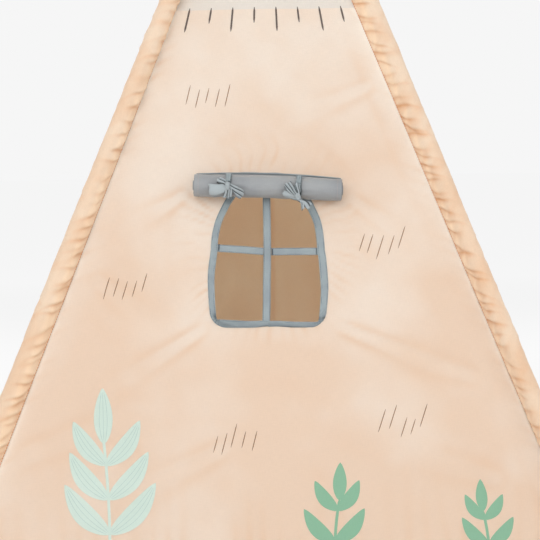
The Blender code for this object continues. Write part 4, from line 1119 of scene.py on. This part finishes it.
def lashing():
    """Three turns of laid rope round the crossing, and the knot that their ends run into."""
    diameter, pitch, turns, steps = 0.005, 0.0062, 3, 24
    lap = math.tau * (CROSS_R + POLE_R) / steps
    ease = 0.0003 + diameter / 2 + lap**2 / (8 * POLE_R + 4 * diameter)
    bottom, lift = -pitch * turns / 2, diameter + 0.0006
    front = -max(bundle_reach(-90, end) for end in (bottom, -bottom)) - ease - lift
    end_x = 0.0078
    path = [(end_x - 0.003, front, bottom), (end_x + diameter, front, bottom)]
    for k in range(1, turns * steps):
        degrees, height = 360 * k / steps - 90, bottom + pitch * k / steps
        from_end = min(k, turns * steps - k) / steps
        forward = max(0, math.cos(math.tau * min(from_end, 0.25)))
        radius = min((bundle_reach(degrees + t, height) + ease) / math.cos(math.radians(t))
                     for t in range(-60, 61, 3))
        point = ray(degrees) * (radius + lift * forward) + UP * height
        if from_end > 0.125 or abs(point.x) > end_x + 2 * diameter:
            path.append(tuple(point))
    path = np.array(path + [(-end_x - diameter, front, -bottom), (-end_x + 0.003, front, -bottom)])
    length = along(path)
    rope = smoothed(points_at(np.linspace(0, length[-1], 520), length, path), 6)
    crossing = np.array([0, 0, CROSS_Z])
    look = ("apex", ROPE, "cotton_rope")
    cord("lashing_rope", rope + crossing, diameter / 2, 18, *look, ["lashing"], lobes=3)
    y = front - diameter
    strands = [
        [(0.0065, front, bottom), (0.003, y + 0.003, -0.0075), (-0.0035, y, -0.004),
         (-0.0045, y - 0.001, 0.003), (0, y - 0.002, 0.0065), (0.0048, y - 0.001, 0.003),
         (0.004, y - 0.0005, -0.0025), (0, y + 0.001, -0.0035), (-0.01, y - 0.001, -0.0045),
         (-0.024, y - 0.003, -0.007), (-0.037, y - 0.0055, -0.004)],
        [(-0.0065, front, -bottom), (-0.003, y + 0.003, 0.0075), (0.003, y - 0.0045, 0.0045),
         (0.0052, y - 0.006, -0.002), (0, y - 0.0065, -0.006), (-0.005, y - 0.0055, -0.0015),
         (-0.0035, y - 0.005, 0.0035), (0.002, y - 0.002, 0.001), (0.012, y - 0.001, 0),
         (0.025, y - 0.003, -0.004), (0.037, y - 0.0055, -0.009)]]
    for k, strand in enumerate(strands):
        fine = smoothed(resample(np.array(strand), 0.0006), 40)
        radius = np.full(len(fine), diameter / 2)
        radius[-12:] += 0.0005 * np.sin(np.linspace(0, math.pi, 12))
        knot = () if k else ["lashing_knot"]
        cord(f"lashing_knot_strand{k}", fine + crossing, radius, 16, *look, knot, lobes=3)


# Camera, light and floor

def camera():
    data = bpy.data.cameras.new("camera")
    photo_size, focal_length, off_centre = 540, 2032.9, 0.74    # pixels
    data.sensor_width, data.lens = 36, focal_length / photo_size * 36
    data.shift_x = off_centre / photo_size
    made = bpy.data.objects.new("camera", data)
    bpy.context.scene.collection.objects.link(made)
    pitch, turn = 0.0566, -0.0158
    forward, level = Vector((0, math.cos(pitch), -math.sin(pitch))), Vector((1, 0, 0))
    upright = level.cross(forward)
    right = level * math.cos(turn) + upright * math.sin(turn)
    up = upright * math.cos(turn) - level * math.sin(turn)
    made.matrix_world = frame_of(right, up, -forward, Vector((0, -3.714, 0.6819)))
    data.clip_end = 200
    bpy.context.scene.camera = made


def light(name, spot, aim, size, power):
    data = bpy.data.lights.new(name, "AREA")
    data.shape, data.size, data.energy = "DISK", size, power
    made = bpy.data.objects.new(name, data)
    bpy.context.scene.collection.objects.link(made)
    made.location = spot
    made.rotation_euler = (Vector(aim) - Vector(spot)).to_track_quat("-Z", "Y").to_euler()


def studio():
    world = bpy.data.worlds.new("studio")
    bpy.context.scene.world = world
    world.use_nodes = True
    back = world.node_tree.nodes["Background"]
    back.inputs["Color"].default_value = rgb(246, 246, 246)
    back.inputs["Strength"].default_value = 1.0
    light("key", (-0.8, -3.9, 2.3), (0, -0.2, 0.8), 2.8, 58)
    light("fill", (2.4, -3.2, 1.6), (0, 0, 0.7), 2.6, 14)
    light("back_right", (3.6, 2.8, 1.9), (0, 0, 0.9), 2.0, 24)
    light("back_left", (-3.6, 2.8, 1.9), (0, 0, 0.9), 2.0, 21)
    bpy.ops.mesh.primitive_circle_add(vertices=96, radius=60, fill_type="NGON", location=(0, 0, -0.0005))
    floor = bpy.context.object
    floor.name = "floor"
    m = Material("pale_floor", 0.9)
    away = m.add("VectorMath", {0: m.solid()}, "Value", operation="LENGTH")
    m.feed(m.shader, {"Base Color": (0.88, 0.88, 0.88, 1), "Specular IOR Level": 0.0,
                      "Emission Color": (1, 1, 1, 1), "Emission Strength": m.ranged(away, 2.0, 7.5, 0.0, 0.102)})
    floor.data.materials.append(m.made)
    bpy.context.scene.view_settings.view_transform = "Standard"


camera()
studio()

# Rigid nodes keep their shape and get a better finish
for corner, degrees in CORNERS.items():
    pole = pole_frame(degrees)
    grain = wood(f"pine_{corner}", tuple(pole.col[2].to_3d()), tuple(pole.translation))
    for kind, material in (("pole_lower", grain), ("pole_upper", grain), ("ferrule", STEEL), ("foot", RUBBER)):
        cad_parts[f"{kind}_{corner}"].material_slots[0].material = material
    points, normal = sleeve(corner, degrees)
    if corner.startswith("back"):
        door_tie(corner.split("_")[1], points, normal)

for side, node_name in (("front", "window_panel"), ("left", "left_panel"), ("right", "right_panel"),
                        ("back", "door_head_panel")):
    build_side(side, node_name)
flap = roll()
flap += bow("left", TIES[0], 0.008, (0.0034, 0.0066, 0.12),
            [(193, 0.031, 0.0125, 0.0162, 0.003, 0.8, 0.0007), (-23, 0.029, 0.007, 0.0118, 0.0042, 2.1, 0.0018),
             (150, 0.019, 0.0045, 0.009, 0.0036, 1.7, 0.0017)],
            [(-112, 0.017, 0.004, 0.0065, 0.002, 1.5, 0.0012), (-72, 0.017, 0.0045, 0.008, 0.0018, 1.6, 0.0012)])
flap += bow("right", TIES[1], 0.0208, (0.004, 0.0052, 0.55),
            [(134, 0.027, 0.0065, 0.014, 0.0044, 2.7, 0.0023), (176, 0.025, 0.005, 0.0072, 0.0028, 0.9, 0.0007),
             (97, 0.02, 0.0035, 0.0052, 0.0034, 1.1, 0.0013)],
            [(-43, 0.0255, 0.005, 0.0122, 0.0034, 1.3, 0.0012), (-64, 0.0225, 0.0035, 0.0052, 0.003, 1.0, 0.001)])
gather_side(flap, "front")
door_flap("left", lambda v: LEFT_EDGE, half_width)
door_flap("right", lambda v: -half_width(v), lambda v: RIGHT_EDGE)
lashing()
